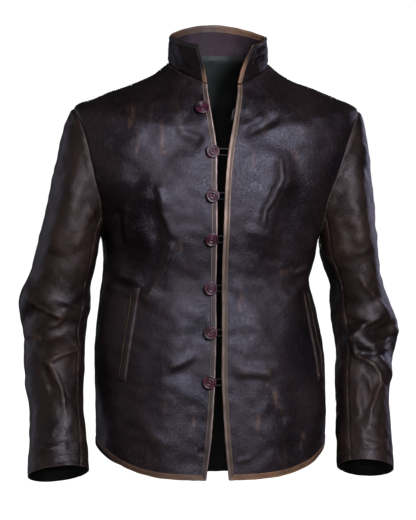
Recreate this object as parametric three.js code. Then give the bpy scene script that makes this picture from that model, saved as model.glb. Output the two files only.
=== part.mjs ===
// Stand-collar leather jacket in its worn form, with no wearer. Millimetres, +Z up.
// The jacket faces -Y. Left and right are the wearer's: the right side is -X and its front
// carries the buttons, the left side is +X and its front carries the loops.
// The origin is the middle of the neck seam, where the wearer's neck and shoulders hold it.

import * as THREE from "three";
import { mergeVertices } from "three/addons/utils/BufferGeometryUtils.js";

const { degToRad, radToDeg, lerp, smoothstep, clamp } = THREE.MathUtils;

/** Rows of a table as objects with named columns. */
function ringTable(columns, ...rows) {
  return rows.map((row) => Object.fromEntries(columns.map((column, i) => [column, row[i]])));
}

// ---------------------------------------------------------------- driving dimensions

const BODY_WALL = 2.0; // leather and its lining
const SLEEVE_WALL = 1.8;
const SEAM_GAP = 0.3; // clear distance between neighbouring pieces
const BINDING_WIDTH = 8;
const BINDING_THICKNESS = 0.7;
const LINING_WALL = 1.0;
const LINING_CLEARANCE = 0.6;

const LEAN = 12.6; // the neck stands this far to +X of the hips
const LEAN_HEIGHTS = [-200, 10]; // the lean comes in between these heights
const SHOULDER_DROP = 1; // the left shoulder hangs this much lower, the right as much higher
const DROP_HEIGHTS = [-270, -60];
const HALF_SPAN = 240; // from the middle to a shoulder tip

const BUTTON_DIAMETER = 22.3;
const SHANK_RADIUS = 3.2;
const SHANK_FOOT = 0.5; // clears the facets of the leather under it
const CAP_BOTTOM = 4.3;
const CAP_EDGE = 5.1; // where the cap is widest
const CAP_RIM = 8.0;
const CAP_DISH = 7.0;
const RIM_SLOPE = 0.8;
const RIM_WIDTH = 3.2;
const BUTTON_SIDES = 16;

const LOOP_CORD = 2.2; // diameter of the loop cord
const LOOP_SPREAD = 5.2; // half the distance between a loop's two legs
const LOOP_HEIGHT = 2.7; // the loop's middle line over the right front
const LOOP_ROOT_LENGTH = 1.5;
const LOOP_STEPS = 20;
const CORD_SIDES = 6;
const LOOSE_REACH = new THREE.Vector3(-7, -2, -3); // how the open top loop hangs
const LOOSE_SAG = new THREE.Vector3(-LOOP_SPREAD, -0.5, -2);

// Rings of the body from the hem up. Each one is a rounded oval: halfWidth and sideZ at the
// sides, frontY and frontZ at the centre front, backY and backZ at the centre back, shiftX its
// middle. Squareness 2 is an ellipse, and larger values fill out the corners.
const BODY_RINGS = ringTable(
  ["halfWidth", "shiftX", "sideZ", "frontY", "frontZ", "backY", "backZ", "squareness"],
  [193, 0, -611, -118, -668, 124, -676, 2.4], // hem
  [194, 0, -531, -119, -572, 124, -575, 2.4], // hip
  [191, -3, -440, -115, -460, 117, -460, 2.35],
  [175, -8, -348, -109, -352, 104, -352, 2.3], // waist
  [178, -2, -306, -114, -304, 109, -302, 2.4],
  [183, 0, -266, -119, -262, 117, -256, 2.5], // underarm
  [199, 0, -214, -121, -222, 121, -210, 2.5],
  [223, 0, -161, -119, -184, 123, -164, 2.5],
  [240, 0, -105, -114, -147, 119, -118, 2.4],
  [240, 0, -57, -107, -111, 110, -76, 2.3], // shoulder tip
  [206, 0, -40, -102, -93, 105, -57, 2.2],
  [171, 0, -25, -96, -76, 99, -39, 2.15],
  [140, 0, -14, -90, -61, 92, -21, 2.1],
  [115, 0, -3, -84, -46, 84, -4, 2],
  [97, 0, 9, -78, -32, 74, 14, 2],
  [84, 0, 21, -72, -18, 64, 30, 2], // neck seam
);
const UNDERARM = 5; // index of the ring at the armhole's lowest point
const SHOULDER_TIP = 9; // index of the ring at the armhole's highest point
const NECK = 15;
const HEM_BINDING = 0.085; // ring position of the hem binding's upper edge
const ARMHOLE_FRONT = 17; // largest angle from the side to the armhole's front edge, degrees
const ARMHOLE_BACK = 18;
const SIDE_SOFTNESS = 0.15; // rounds a ring's high point at the side
const HEM_CORNER = 0.47; // share of the hem's turn in which it climbs to the side
const HEM_CLIMB = 1.9;
const SIDE_CALM = [0.02, 0.25]; // folds fade out between these cosines, beside the side seam

// Front edges: distance from the centre front plane to each edge at heights z.
const OPENING = [
  { z: -680, right: -26, left: 16 },
  { z: -600, right: -16, left: 8 },
  { z: -511, right: -10, left: 3 },
  { z: -427, right: -7, left: 4 },
  { z: -292, right: -6.5, left: 5 },
  { z: -200, right: -6.5, left: 8 },
  { z: -124, right: -9, left: 12 },
  { z: -70, right: -21, left: 19 },
  { z: -18, right: -31, left: 27 },
];

// Largest folds of the body: ridges (height above 0) and troughs (below 0) from one point to
// another, given as x and z on the front or on the back.
const BODY_FOLDS = [
  { on: "front", x0: 103, z0: -139, x1: 103, z1: -176, width: 13, height: 5 },
  { on: "front", x0: 103, z0: -176, x1: 75, z1: -262, width: 14, height: 5.5 },
  { on: "front", x0: 130, z0: -215, x1: 104, z1: -300, width: 15, height: -3.5 },
  { on: "front", x0: 156, z0: -330, x1: 120, z1: -368, width: 12, height: 5 },
  { on: "front", x0: 60, z0: -95, x1: 125, z1: -140, width: 15, height: -3 },
  { on: "front", x0: 62, z0: -420, x1: 78, z1: -640, width: 22, height: 4 },
  { on: "front", x0: 132, z0: -440, x1: 140, z1: -610, width: 18, height: -3.5 },
  { on: "front", x0: -84, z0: -210, x1: -80, z1: -330, width: 17, height: 4.5 },
  { on: "front", x0: -60, z0: -105, x1: -128, z1: -165, width: 15, height: -3.5 },
  { on: "front", x0: -118, z0: -190, x1: -146, z1: -262, width: 13, height: 4 },
  { on: "front", x0: -150, z0: -335, x1: -112, z1: -365, width: 12, height: 4 },
  { on: "front", x0: -70, z0: -400, x1: -88, z1: -645, width: 23, height: 4 },
  { on: "front", x0: -38, z0: -430, x1: -46, z1: -640, width: 16, height: -3 },
  { on: "back", x0: 20, z0: -300, x1: 92, z1: -352, width: 15, height: 4.5 },
  { on: "back", x0: -34, z0: -322, x1: -108, z1: -366, width: 14, height: 5 },
  { on: "back", x0: 120, z0: -150, x1: 96, z1: -258, width: 17, height: 4 },
  { on: "back", x0: -112, z0: -160, x1: -126, z1: -270, width: 15, height: 4.5 },
  { on: "back", x0: -52, z0: -60, x1: 66, z1: -52, width: 15, height: -3 },
  { on: "back", x0: 62, z0: -420, x1: 84, z1: -640, width: 22, height: 5 },
  { on: "back", x0: -18, z0: -440, x1: -30, z1: -650, width: 20, height: -4 },
  { on: "back", x0: -92, z0: -410, x1: -112, z1: -620, width: 22, height: 5 },
];

// Sleeve sections from the upper arm to the cuff: centre x (away from the body), y and z,
// half sizes across and front to back, and the section's turn about Y in degrees.
const SLEEVE_COLUMN_NAMES = ["x", "y", "z", "halfWidth", "halfDepth", "turn"];
const RIGHT_SLEEVE = ringTable(
  SLEEVE_COLUMN_NAMES,
  [242, 8, -300, 51, 62, 0],
  [252, 13, -342, 52, 61, 0],
  [261, 14, -384, 61, 60, 0], // elbow
  [262, 5, -424, 52, 58, 0],
  [264, -10, -466, 51, 56, 0],
  [265, -26, -508, 49, 54, 0],
  [264, -42, -551, 45, 52, 0],
  [263, -57, -592, 47, 51, 2],
  [263, -70, -630, 50, 50, 5],
  [264, -80, -657, 51, 50, 7], // cuff
);
const LEFT_SLEEVE = ringTable(
  SLEEVE_COLUMN_NAMES,
  [239, 8, -300, 49, 62, 0],
  [250, 13, -345, 44, 61, 0],
  [257, 16, -385, 50, 60, 0],
  [266, 9, -430, 55, 58, 0], // elbow
  [262, -8, -470, 49, 56, 0],
  [254, -25, -510, 45, 54, 0],
  [252, -42, -551, 45, 52, 0],
  [251, -57, -592, 46, 51, 2],
  [250, -70, -628, 47, 50, 5],
  [250, -80, -654, 47, 49, 7], // cuff
);
const SLEEVE_COLUMNS = 16; // 0 at the body, 4 at the front, 8 outside, 12 at the back
const FRONT_SEAM = 2; // the column where the two sleeve pieces meet in front
const BACK_SEAM = 14;
const COLUMN_ARC = 20; // a column's width round a sleeve of middle size
const HEAD_STEPS = [0, 0.04, 0.11, 0.22, 0.36, 0.54, 0.76]; // from the armhole to the first section
const HEAD_FALL = 0.25; // slope of the sleeve head as it leaves the armhole
const HEAD_ROLL = 0.35;
const HEAD_REACH = [6, 21]; // length of that start, at the underarm and at the shoulder
const HEAD_SETTLE = [0.4, 0.46]; // share of the head's length in which it turns down the arm
const ARM_STEPS = 20; // from the first section to the cuff

// Folds of the sleeves, from one point to another, given as column and height z.
const RIGHT_SLEEVE_FOLDS = [
  { c0: 6.4, z0: -368, c1: 3.4, z1: -406, width: 12, height: 6 },
  { c0: 3.4, z0: -406, c1: 5.0, z1: -424, width: 11, height: 5 },
  { c0: 5.6, z0: -396, c1: 7.4, z1: -412, width: 12, height: -4 },
  { c0: 2.5, z0: -462, c1: 4.4, z1: -484, width: 12, height: 5 },
  { c0: 4.4, z0: -484, c1: 3.0, z1: -575, width: 13, height: 4 },
  { c0: 3.0, z0: -436, c1: 6.2, z1: -452, width: 12, height: -4 },
  { c0: 5.2, z0: -130, c1: 5.8, z1: -330, width: 15, height: 4 },
  { c0: 10.6, z0: -372, c1: 13.4, z1: -392, width: 13, height: 5 },
  { c0: 9.6, z0: -430, c1: 12.8, z1: -446, width: 13, height: 5 },
  { c0: 11.4, z0: -470, c1: 10.2, z1: -570, width: 14, height: 4 },
  { c0: 15.2, z0: -350, c1: 13.8, z1: -420, width: 13, height: -4 },
];
const LEFT_SLEEVE_FOLDS = [
  { c0: 5.4, z0: -401, c1: 2.9, z1: -440, width: 12, height: 5 },
  { c0: 2.9, z0: -440, c1: 2.8, z1: -464, width: 11, height: 5 },
  { c0: 2.8, z0: -464, c1: 6.4, z1: -506, width: 12, height: 6 },
  { c0: 6.4, z0: -506, c1: 4.0, z1: -601, width: 13, height: 4.5 },
  { c0: 4.4, z0: -436, c1: 6.8, z1: -462, width: 12, height: -5 },
  { c0: 3.2, z0: -500, c1: 4.6, z1: -535, width: 12, height: -4 },
  { c0: 5.0, z0: -140, c1: 5.2, z1: -350, width: 16, height: 4 },
  { c0: 10.2, z0: -395, c1: 13.0, z1: -420, width: 13, height: 5 },
  { c0: 12.6, z0: -446, c1: 9.8, z1: -470, width: 13, height: 5 },
  { c0: 10.4, z0: -500, c1: 11.6, z1: -590, width: 14, height: 4 },
  { c0: 14.6, z0: -360, c1: 13.6, z1: -430, width: 13, height: -4 },
];

// Collar: its upper edge, and how far its front ends stand from the centre plane.
const COLLAR_TOP = { halfWidth: 81, sideZ: 65, frontY: -80, frontZ: 44, backY: 63, backZ: 87 };
const COLLAR_ENDS = [
  { rise: 0, right: -31, left: 27 },
  { rise: 0.35, right: -36, left: 31 },
  { rise: 0.7, right: -43, left: 40 },
  { rise: 1, right: -50, left: 54 },
];
const COLLAR_STEPS = [0, 0.28, 0.58, 0.86, 1]; // the last step is the binding
const COLLAR_TURN_OUT = 9; // how far the left end's upper corner falls outwards
const COLLAR_TURN_WIDTH = 16; // degrees round the collar
const COLLAR_BULGE = 1.5;

const POCKET_WELTS = [
  { side: -1, x0: 148, z0: -352, x1: 172, z1: -507 }, // from the upper to the lower end
  { side: 1, x0: 141, z0: -360, x1: 166, z1: -512 },
];
const WELT_WIDTH = 13;
const WELT_THICKNESS = 1.6;
const WELT_STEPS = 12;
const WELT_LIFT = 1.2; // clears the flat facets of the front under the welt
const BUTTONS = [
  { z: -63, inset: 15 },
  { z: -129, inset: 6.5 },
  { z: -201, inset: 7 },
  { z: -272, inset: 9 },
  { z: -353, inset: 9 },
  { z: -426, inset: 9 },
  { z: -507, inset: 8.5 },
];

// ---------------------------------------------------------------- materials

const leather = new THREE.MeshStandardMaterial({ color: 0x2f2628, roughness: 0.45, metalness: 0 });
const sleeveLeather = new THREE.MeshStandardMaterial({ color: 0x382c29, roughness: 0.5, metalness: 0 });
const wornEdge = new THREE.MeshStandardMaterial({ color: 0x8f7158, roughness: 0.65, metalness: 0 });
const lining = new THREE.MeshStandardMaterial({ color: 0x1b1e1c, roughness: 0.8, metalness: 0 });
const buttonGloss = new THREE.MeshStandardMaterial({ color: 0x3c1923, roughness: 0.2, metalness: 0 });
const cord = new THREE.MeshStandardMaterial({ color: 0x231c1e, roughness: 0.7, metalness: 0 });

// ---------------------------------------------------------------- curves and folds

/** Smooth value of a table's column at a real row position. */
function along(rows, column, position) {
  const last = rows.length - 1;
  const i = Math.min(Math.floor(clamp(position, 0, last)), last - 1);
  const t = clamp(position, 0, last) - i;
  const b = rows[i][column];
  const c = rows[i + 1][column];
  const a = i > 0 ? rows[i - 1][column] : 2 * b - c;
  const d = i + 2 <= last ? rows[i + 2][column] : 2 * c - b;
  const bend = (3 * (b - c) + d - a) * t + (2 * a - 5 * b + 4 * c - d);
  return b + 0.5 * t * (c - a + t * bend);
}

/** Value of a table's column at a key that rises from row to row, in straight stretches. */
function between(rows, key, column, value) {
  let i = 0;
  while (i < rows.length - 2 && rows[i + 1][key] < value) i += 1;
  const t = clamp((value - rows[i][key]) / (rows[i + 1][key] - rows[i][key]), 0, 1);
  return lerp(rows[i][column], rows[i + 1][column], t);
}

/** Height of one fold at a point: a rounded ridge round the line between its ends. */
function foldHeight(px, pz, x0, z0, x1, z1, width, height) {
  const dx = x1 - x0;
  const dz = z1 - z0;
  const t = clamp(((px - x0) * dx + (pz - z0) * dz) / (dx * dx + dz * dz), 0, 1);
  const distance = Math.hypot(px - x0 - t * dx, pz - z0 - t * dz);
  return height * Math.exp(-0.5 * (distance / width) ** 2);
}

/** The whole garment leans a little: the neck to +X and the left shoulder down. */
function settle(point) {
  const up = smoothstep(point.z, ...LEAN_HEIGHTS);
  const drop = SHOULDER_DROP * smoothstep(point.z, ...DROP_HEIGHTS) * (point.x / HALF_SPAN);
  return new THREE.Vector3(point.x + LEAN * (up - 1), point.y, point.z - drop);
}

/** Unit normal of a surface given as a function of two parameters. */
function normalOf(surface, a, b, stepA, stepB) {
  const alongA = surface(a + stepA, b).sub(surface(a - stepA, b));
  const alongB = surface(a, b + stepB).sub(surface(a, b - stepB));
  return alongA.cross(alongB).normalize();
}

// ---------------------------------------------------------------- body surface

/** Share of a ring's height between its side, 0, and its middle, 1, with a soft high point. */
function sideRise(cosine) {
  const soft = (at) => Math.hypot(at, SIDE_SOFTNESS) - SIDE_SOFTNESS;
  return soft(cosine) / soft(1);
}

/** The same share for the shirt-tail hem, which climbs late and steeply to the side. */
function hemRise(cosine) {
  const climb = (at) => 1 - Math.exp(-((Math.abs(at) / HEM_CORNER) ** HEM_CLIMB));
  return climb(cosine) / climb(1);
}

/** A point of the body: level is the ring position, angle 0 the front, 90 the left side. */
function bodyPoint(level, angle) {
  const turn = degToRad(angle);
  const sine = Math.sin(turn);
  const cosine = Math.cos(turn);
  const ring = (column) => along(BODY_RINGS, column, level);
  const depth = cosine > 0 ? -ring("frontY") : ring("backY");
  const power = ring("squareness");
  const across = Math.abs(sine / ring("halfWidth")) ** power;
  const radius = (across + Math.abs(cosine / depth) ** power) ** (-1 / power);
  const rise = lerp(hemRise(cosine), sideRise(cosine), smoothstep(level, 1, 4));
  const x = radius * sine + ring("shiftX");
  const z = lerp(ring("sideZ"), cosine > 0 ? ring("frontZ") : ring("backZ"), rise);
  const side = cosine > 0 ? "front" : "back";
  const folds = BODY_FOLDS.filter((fold) => fold.on === side)
    .reduce((sum, f) => sum + foldHeight(x, z, f.x0, f.z0, f.x1, f.z1, f.width, f.height), 0);
  const swell = folds * smoothstep(Math.abs(cosine), ...SIDE_CALM);
  return settle(new THREE.Vector3(x + swell * sine, -(radius + swell) * cosine, z));
}

const bodyNormal = (level, angle) => normalOf(bodyPoint, level, angle, -0.02, 0.3);

/** Angle of a plane at distance x from the centre, on the front of a ring. */
function frontAngle(level, x) {
  return radToDeg(Math.atan2(x - along(BODY_RINGS, "shiftX", level), -along(BODY_RINGS, "frontY", level)));
}

/** Angle of a front edge. The side is -1 for the right front and 1 for the left. */
function openingX(level, side) {
  return between(OPENING, "z", side < 0 ? "right" : "left", along(BODY_RINGS, "frontZ", level));
}

/** Angle from the side plane to the seam: the armhole's edge, or half a seam gap. */
function seamAngle(level, widest) {
  const t = (level - UNDERARM) / (SHOULDER_TIP - UNDERARM);
  const gap = radToDeg(SEAM_GAP / 2 / along(BODY_RINGS, "halfWidth", level));
  if (t <= 0 || t >= 1) return gap;
  return Math.max(gap, widest * 2 * Math.sqrt(t * (1 - t)));
}

/** Ring position of the armhole's edge beside a sleeve column, even steps round an oval. */
function armholeLevel(column) {
  const t = (1 - Math.cos((2 * Math.PI * column) / SLEEVE_COLUMNS)) / 2;
  return lerp(UNDERARM, SHOULDER_TIP, t);
}

const BODY_LEVELS = [
  0, HEM_BINDING, 0.4, 0.7, 1, 1.33, 1.67, 2, 2.33, 2.67, 3, 3.5, 4, 4.5, UNDERARM,
  ...[1, 2, 3, 4, 5, 6, 7].map(armholeLevel),
  SHOULDER_TIP, 9.5, 10.5, 11.5, 12.5, 13.7, NECK,
];

const HALF_COLUMNS = 8; // from the middle to the side
const EDGE_CROWDING = 3; // keeps the armhole's pull to the columns beside it

/** Angles of a half's columns, evenly spread and pulled off the side by the armhole. */
function halfAngles(first, offset) {
  return Array.from({ length: HALF_COLUMNS + 1 }, (_, i) => {
    const share = i / HALF_COLUMNS;
    return lerp(first, 90, share) - offset * share ** EDGE_CROWDING;
  });
}

/** Angles of a front's columns at one level, from the front edge to the side. */
function frontAngles(level, side) {
  const edge = openingX(level, side);
  const first = side * frontAngle(level, edge + side * BINDING_WIDTH);
  const spread = halfAngles(first, seamAngle(level, ARMHOLE_FRONT)).map((angle) => side * angle);
  return [frontAngle(level, edge), ...spread];
}

/** Angles of the back's columns at one level, from the left side round to the right. */
function backAngles(level) {
  const half = halfAngles(0, seamAngle(level, ARMHOLE_BACK));
  return [...half.map((angle) => 180 - angle).reverse(), ...half.slice(1).map((angle) => 180 + angle)];
}

// ---------------------------------------------------------------- solids from grids

/** A grid cell holds a point and the unit normal that points out of the garment there. */
const bodyCell = (level, angle) => ({ point: bodyPoint(level, angle), normal: bodyNormal(level, angle) });

const moved = (cell, distance) => cell.point.clone().addScaledVector(cell.normal, distance);

/** A closed wall over a grid of cells, from one distance to another along the normals. */
function wallGeometry(grid, outer, inner) {
  const rows = grid.length;
  const columns = grid[0].length;
  const positions = [];
  for (const distance of [outer, inner]) {
    grid.forEach((row) => row.forEach((cell) => positions.push(...moved(cell, distance).toArray())));
  }
  const at = (layer, i, j) => (layer * rows + i) * columns + j;
  const index = [];
  const quad = (a, b, c, d) => index.push(a, b, c, a, c, d);
  for (let i = 0; i < rows - 1; i += 1) {
    for (let j = 0; j < columns - 1; j += 1) {
      quad(at(0, i, j), at(0, i, j + 1), at(0, i + 1, j + 1), at(0, i + 1, j));
      quad(at(1, i, j), at(1, i + 1, j), at(1, i + 1, j + 1), at(1, i, j + 1));
    }
  }
  const reach = (k) => positions[k * 3] * 0.11 + positions[k * 3 + 1] * 0.37 + positions[k * 3 + 2];
  // The diagonal starts at the corner that reaches further, so both sides of a seam are split alike.
  const rim = (from, to) => {
    const [a, b, c, d] = [at(0, ...from), at(1, ...from), at(1, ...to), at(0, ...to)];
    if (reach(a) > reach(d)) quad(a, b, c, d);
    else quad(d, a, b, c);
  };
  for (let j = 0; j < columns - 1; j += 1) {
    rim([0, j], [0, j + 1]);
    rim([rows - 1, j + 1], [rows - 1, j]);
  }
  for (let i = 0; i < rows - 1; i += 1) {
    rim([i + 1, 0], [i, 0]);
    rim([i, columns - 1], [i + 1, columns - 1]);
  }
  return facingOut(positions, index);
}

/** Geometry with its faces turned outwards, whichever way the grid ran. */
function facingOut(positions, index) {
  const corner = (k) => new THREE.Vector3().fromArray(positions, index[k] * 3);
  let volume = 0;
  for (let k = 0; k < index.length; k += 3) {
    volume += corner(k).dot(corner(k + 1).cross(corner(k + 2)));
  }
  if (volume < 0) index.reverse();
  const geometry = new THREE.BufferGeometry();
  geometry.setAttribute("position", new THREE.Float32BufferAttribute(positions, 3));
  geometry.setIndex(index);
  return geometry;
}

const jacket = new THREE.Group();
jacket.name = "jacket";

/** Adds one named piece to the jacket and returns its mesh. */
function addPiece(name, geometry, material) {
  const mesh = new THREE.Mesh(geometry, material);
  mesh.name = name;
  jacket.add(mesh);
  return mesh;
}

// ---------------------------------------------------------------- fronts, back and lining

const SIDES = [
  { name: "right", side: -1, sections: RIGHT_SLEEVE, folds: RIGHT_SLEEVE_FOLDS },
  { name: "left", side: 1, sections: LEFT_SLEEVE, folds: LEFT_SLEEVE_FOLDS },
];

/** Cells of the body at each level, at the angles that a function gives for it. */
const bodyGrid = (anglesAt) => (
  BODY_LEVELS.map((level) => anglesAt(level).map((angle) => bodyCell(level, angle)))
);

const bindingOuter = SEAM_GAP + BINDING_THICKNESS;

/** The hem binding's row of cells, which starts a seam gap away from the front binding. */
function hemRow(row) {
  const [, first, second] = row;
  const share = SEAM_GAP / first.point.distanceTo(second.point);
  const start = {
    point: first.point.clone().lerp(second.point, share),
    normal: first.normal.clone().lerp(second.normal, share).normalize(),
  };
  return [start, ...row.slice(2)];
}

for (const { name, side } of SIDES) {
  const grid = bodyGrid((level) => frontAngles(level, side));
  addPiece(`${name}_front`, wallGeometry(grid, 0, -BODY_WALL), leather);
  const edgeCells = grid.map((row) => row.slice(0, 2));
  addPiece(`${name}_front_binding`, wallGeometry(edgeCells, bindingOuter, SEAM_GAP), wornEdge);
  const hemCells = grid.slice(0, 2).map(hemRow);
  addPiece(`${name}_hem_binding`, wallGeometry(hemCells, bindingOuter, SEAM_GAP), wornEdge);
}

const backGrid = bodyGrid(backAngles);
addPiece("back", wallGeometry(backGrid, 0, -BODY_WALL), leather);
addPiece("back_hem_binding", wallGeometry(backGrid.slice(0, 2), bindingOuter, SEAM_GAP), wornEdge);

const liningOuter = -BODY_WALL - LINING_CLEARANCE;
const liningGrid = backGrid.slice(2).map((row) => row.slice(3, -3));
addPiece("back_lining", wallGeometry(liningGrid, liningOuter, liningOuter - LINING_WALL), lining);

// ---------------------------------------------------------------- sleeves

/** A point of the armhole's edge for a sleeve column, with the body's normal there. */
function armholeCell(side, column) {
  const front = column <= SLEEVE_COLUMNS / 2;
  const level = armholeLevel(column);
  const offset = seamAngle(level, front ? ARMHOLE_FRONT : ARMHOLE_BACK);
  return bodyCell(level, side * (front ? 90 - offset : 90 + offset));
}

/** Direction in the body's surface that leads across the armhole's edge into the hole. */
function acrossArmhole(side, column) {
  const cell = armholeCell(side, column);
  const ahead = armholeCell(side, Math.min(column + 0.25, SLEEVE_COLUMNS)).point;
  const behind = armholeCell(side, Math.max(column - 0.25, 0)).point;
  const across = ahead.sub(behind).cross(cell.normal).normalize();
  return across.multiplyScalar(side);
}

/** A point of the sleeve at a real section position and column. */
function armPoint(sleeve, position, column) {
  const section = (name) => along(sleeve.sections, name, position);
  const centreAt = (p) => new THREE.Vector3(
    sleeve.side * along(sleeve.sections, "x", p),
    along(sleeve.sections, "y", p),
    along(sleeve.sections, "z", p),
  );
  const centre = centreAt(position);
  const last = sleeve.sections.length - 1;
  const ahead = centreAt(Math.min(position + 0.3, last));
  const down = ahead.sub(centreAt(Math.max(position - 0.3, 0))).normalize();
  const outward = new THREE.Vector3(sleeve.side, 0, 0).addScaledVector(down, -down.x * sleeve.side);
  outward.normalize().applyAxisAngle(new THREE.Vector3(0, 1, 0), degToRad(section("turn") * sleeve.side));
  const forward = outward.clone().cross(down).multiplyScalar(-sleeve.side).normalize();
  const turn = (2 * Math.PI * column) / SLEEVE_COLUMNS;
  const swell = sleeveFold(sleeve, column, centre.z);
  return centre
    .addScaledVector(outward, -Math.cos(turn) * (section("halfWidth") + swell))
    .addScaledVector(forward, Math.sin(turn) * (section("halfDepth") + swell));
}

/** Height of the sleeve's folds at a column and height, counted round the seam at column 0. */
function sleeveFold(sleeve, column, z) {
  const arc = ((column + SLEEVE_COLUMNS) % SLEEVE_COLUMNS) * COLUMN_ARC;
  return sleeve.folds.reduce((sum, f) => (
    sum + foldHeight(arc, z, f.c0 * COLUMN_ARC, f.z0, f.c1 * COLUMN_ARC, f.z1, f.width, f.height)
  ), 0);
}

/** A point of the sleeve head, on a curve from the armhole to the first section. */
function headPoint(sleeve, share, column) {
  const wrapped = (column + SLEEVE_COLUMNS) % SLEEVE_COLUMNS;
  const height = (1 - Math.cos((2 * Math.PI * wrapped) / SLEEVE_COLUMNS)) / 2; // 0 below, 1 on top
  const across = acrossArmhole(sleeve.side, wrapped);
  const start = armholeCell(sleeve.side, wrapped).point.addScaledVector(across, SEAM_GAP);
  const leave = new THREE.Vector3(sleeve.side, 0, -HEAD_FALL).addScaledVector(across, HEAD_ROLL);
  leave.normalize();
  const end = settle(armPoint(sleeve, 0, wrapped));
  const arrive = settle(armPoint(sleeve, 0.1, wrapped)).sub(end).normalize();
  const span = start.distanceTo(end);
  const curve = new THREE.CubicBezierCurve3(
    start,
    start.clone().addScaledVector(leave, lerp(...HEAD_REACH, height)),
    end.clone().addScaledVector(arrive, -span * lerp(...HEAD_SETTLE, height)),
    end,
  );
  const point = curve.getPoint(share);
  const fade = smoothstep(share, 0.2, 0.6) * smoothstep(1 - share, 0, 0.05);
  const swell = sleeveFold(sleeve, wrapped, point.z) * fade;
  const away = point.clone().sub(settle(armCentre(sleeve))).setZ(0).normalize();
  return point.addScaledVector(away, swell);
}

/** Centre of the sleeve's first section. */
function armCentre(sleeve) {
  const { x, y, z } = sleeve.sections[0];
  return new THREE.Vector3(sleeve.side * x, y, z);
}

/** A point of the whole sleeve: 0 to 1 is the head, and 1 to 2 runs on to the cuff. */
function sleevePoint(sleeve, share, column) {
  if (share < 1) return headPoint(sleeve, Math.max(share, 0), column);
  return settle(armPoint(sleeve, (share - 1) * (sleeve.sections.length - 1), column));
}

/** Cells of a sleeve at one share of its length. */
function sleeveRow(sleeve, share, columns) {
  const surface = (s, c) => sleevePoint(sleeve, s, c);
  return columns.map((column) => {
    const normal = normalOf(surface, share, column, 0.004, 0.05).multiplyScalar(sleeve.side);
    const cell = { point: surface(share, column), normal };
    if (share === 0) cell.normal = armholeCell(sleeve.side, (column + SLEEVE_COLUMNS) % SLEEVE_COLUMNS).normal;
    return cell;
  });
}

const SLEEVE_SHARES = [
  ...HEAD_STEPS,
  ...Array.from({ length: ARM_STEPS + 1 }, (_, i) => 1 + i / ARM_STEPS),
];

/** Columns from one seam to another, with half a seam gap left at each. */
function seamToSeam(first, last) {
  const gap = SEAM_GAP / 2 / COLUMN_ARC;
  const inside = Array.from({ length: last - first - 1 }, (_, i) => first + 1 + i);
  return [first + gap, ...inside, last - gap];
}

for (const sleeve of SIDES) {
  const rows = (columns) => SLEEVE_SHARES.map((share) => sleeveRow(sleeve, share, columns));
  const top = wallGeometry(rows(seamToSeam(FRONT_SEAM, BACK_SEAM)), 0, -SLEEVE_WALL);
  const under = wallGeometry(rows(seamToSeam(BACK_SEAM - SLEEVE_COLUMNS, FRONT_SEAM)), 0, -SLEEVE_WALL);
  addPiece(`${sleeve.name}_top_sleeve`, top, sleeveLeather);
  addPiece(`${sleeve.name}_undersleeve`, under, sleeveLeather);
}

// ---------------------------------------------------------------- collar

/** A point of the collar: rise 0 is the neck seam and 1 the upper edge. */
function collarPoint(rise, seamPosition) {
  const ring = BODY_RINGS[NECK];
  const side = seamPosition > 180 ? -1 : 1;
  const fromFront = side < 0 ? 360 - seamPosition : seamPosition;
  const end = (at) => radToDeg(Math.atan2(
    Math.abs(between(COLLAR_ENDS, "rise", side < 0 ? "right" : "left", at)),
    lerp(-ring.frontY, -COLLAR_TOP.frontY, at),
  ));
  const angle = fromFront < 90
    ? 90 - ((90 - fromFront) * (90 - end(rise))) / (90 - end(0))
    : fromFront;
  const sine = Math.sin(degToRad(angle));
  const cosine = Math.cos(degToRad(angle));
  const mix = (column) => lerp(ring[column], COLLAR_TOP[column], rise);
  const depth = cosine > 0 ? -mix("frontY") : mix("backY");
  const radius = 1 / Math.hypot(sine / mix("halfWidth"), cosine / depth);
  const beside = Math.exp(-(((angle - end(1)) / COLLAR_TURN_WIDTH) ** 2));
  const corner = side > 0 ? COLLAR_TURN_OUT * rise ** 2 * beside : 0;
  const swell = COLLAR_BULGE * Math.sin(Math.PI * rise) + corner;
  const z = lerp(mix("sideZ"), cosine > 0 ? mix("frontZ") : mix("backZ"), sideRise(cosine));
  return settle(new THREE.Vector3(side * (radius + swell) * sine, -(radius + swell) * cosine, z));
}

/** Cells of the collar at one rise. The seam row takes the body's normals at the neck. */
function collarRow(rise, positions) {
  return positions.map((position) => {
    if (rise > 0) {
      const normal = normalOf(collarPoint, rise, position, -0.02, 0.3);
      return { point: collarPoint(rise, position), normal };
    }
    const seam = bodyCell(NECK, position > 180 ? position - 360 : position);
    const below = bodyPoint(NECK - 0.1, position > 180 ? position - 360 : position);
    const onward = seam.point.clone().sub(below).normalize();
    return { point: seam.point.clone().addScaledVector(onward, SEAM_GAP), normal: seam.normal };
  });
}

const neckPositions = [
  ...frontAngles(NECK, 1),
  ...backAngles(NECK).slice(1, -1),
  ...frontAngles(NECK, -1).reverse().map((angle) => angle + 360),
];
const collarGrid = COLLAR_STEPS.map((rise) => collarRow(rise, neckPositions));
addPiece("collar", wallGeometry(collarGrid, 0, -BODY_WALL), leather);
addPiece("collar_binding", wallGeometry(collarGrid.slice(-2), bindingOuter, SEAM_GAP), wornEdge);

// ---------------------------------------------------------------- pockets, buttons and loops

/** The cell of the front surface at a given distance from the centre plane and height. */
function frontCellAt(x, z) {
  let level = 1;
  for (let pass = 0; pass < 8; pass += 1) {
    const angle = angleAt(level, x);
    const slope = (bodyPoint(level + 0.05, angle).z - bodyPoint(level - 0.05, angle).z) / 0.1;
    level = clamp(level + (z - bodyPoint(level, angle).z) / slope, 0, NECK);
  }
  return bodyCell(level, angleAt(level, x));
}

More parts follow.
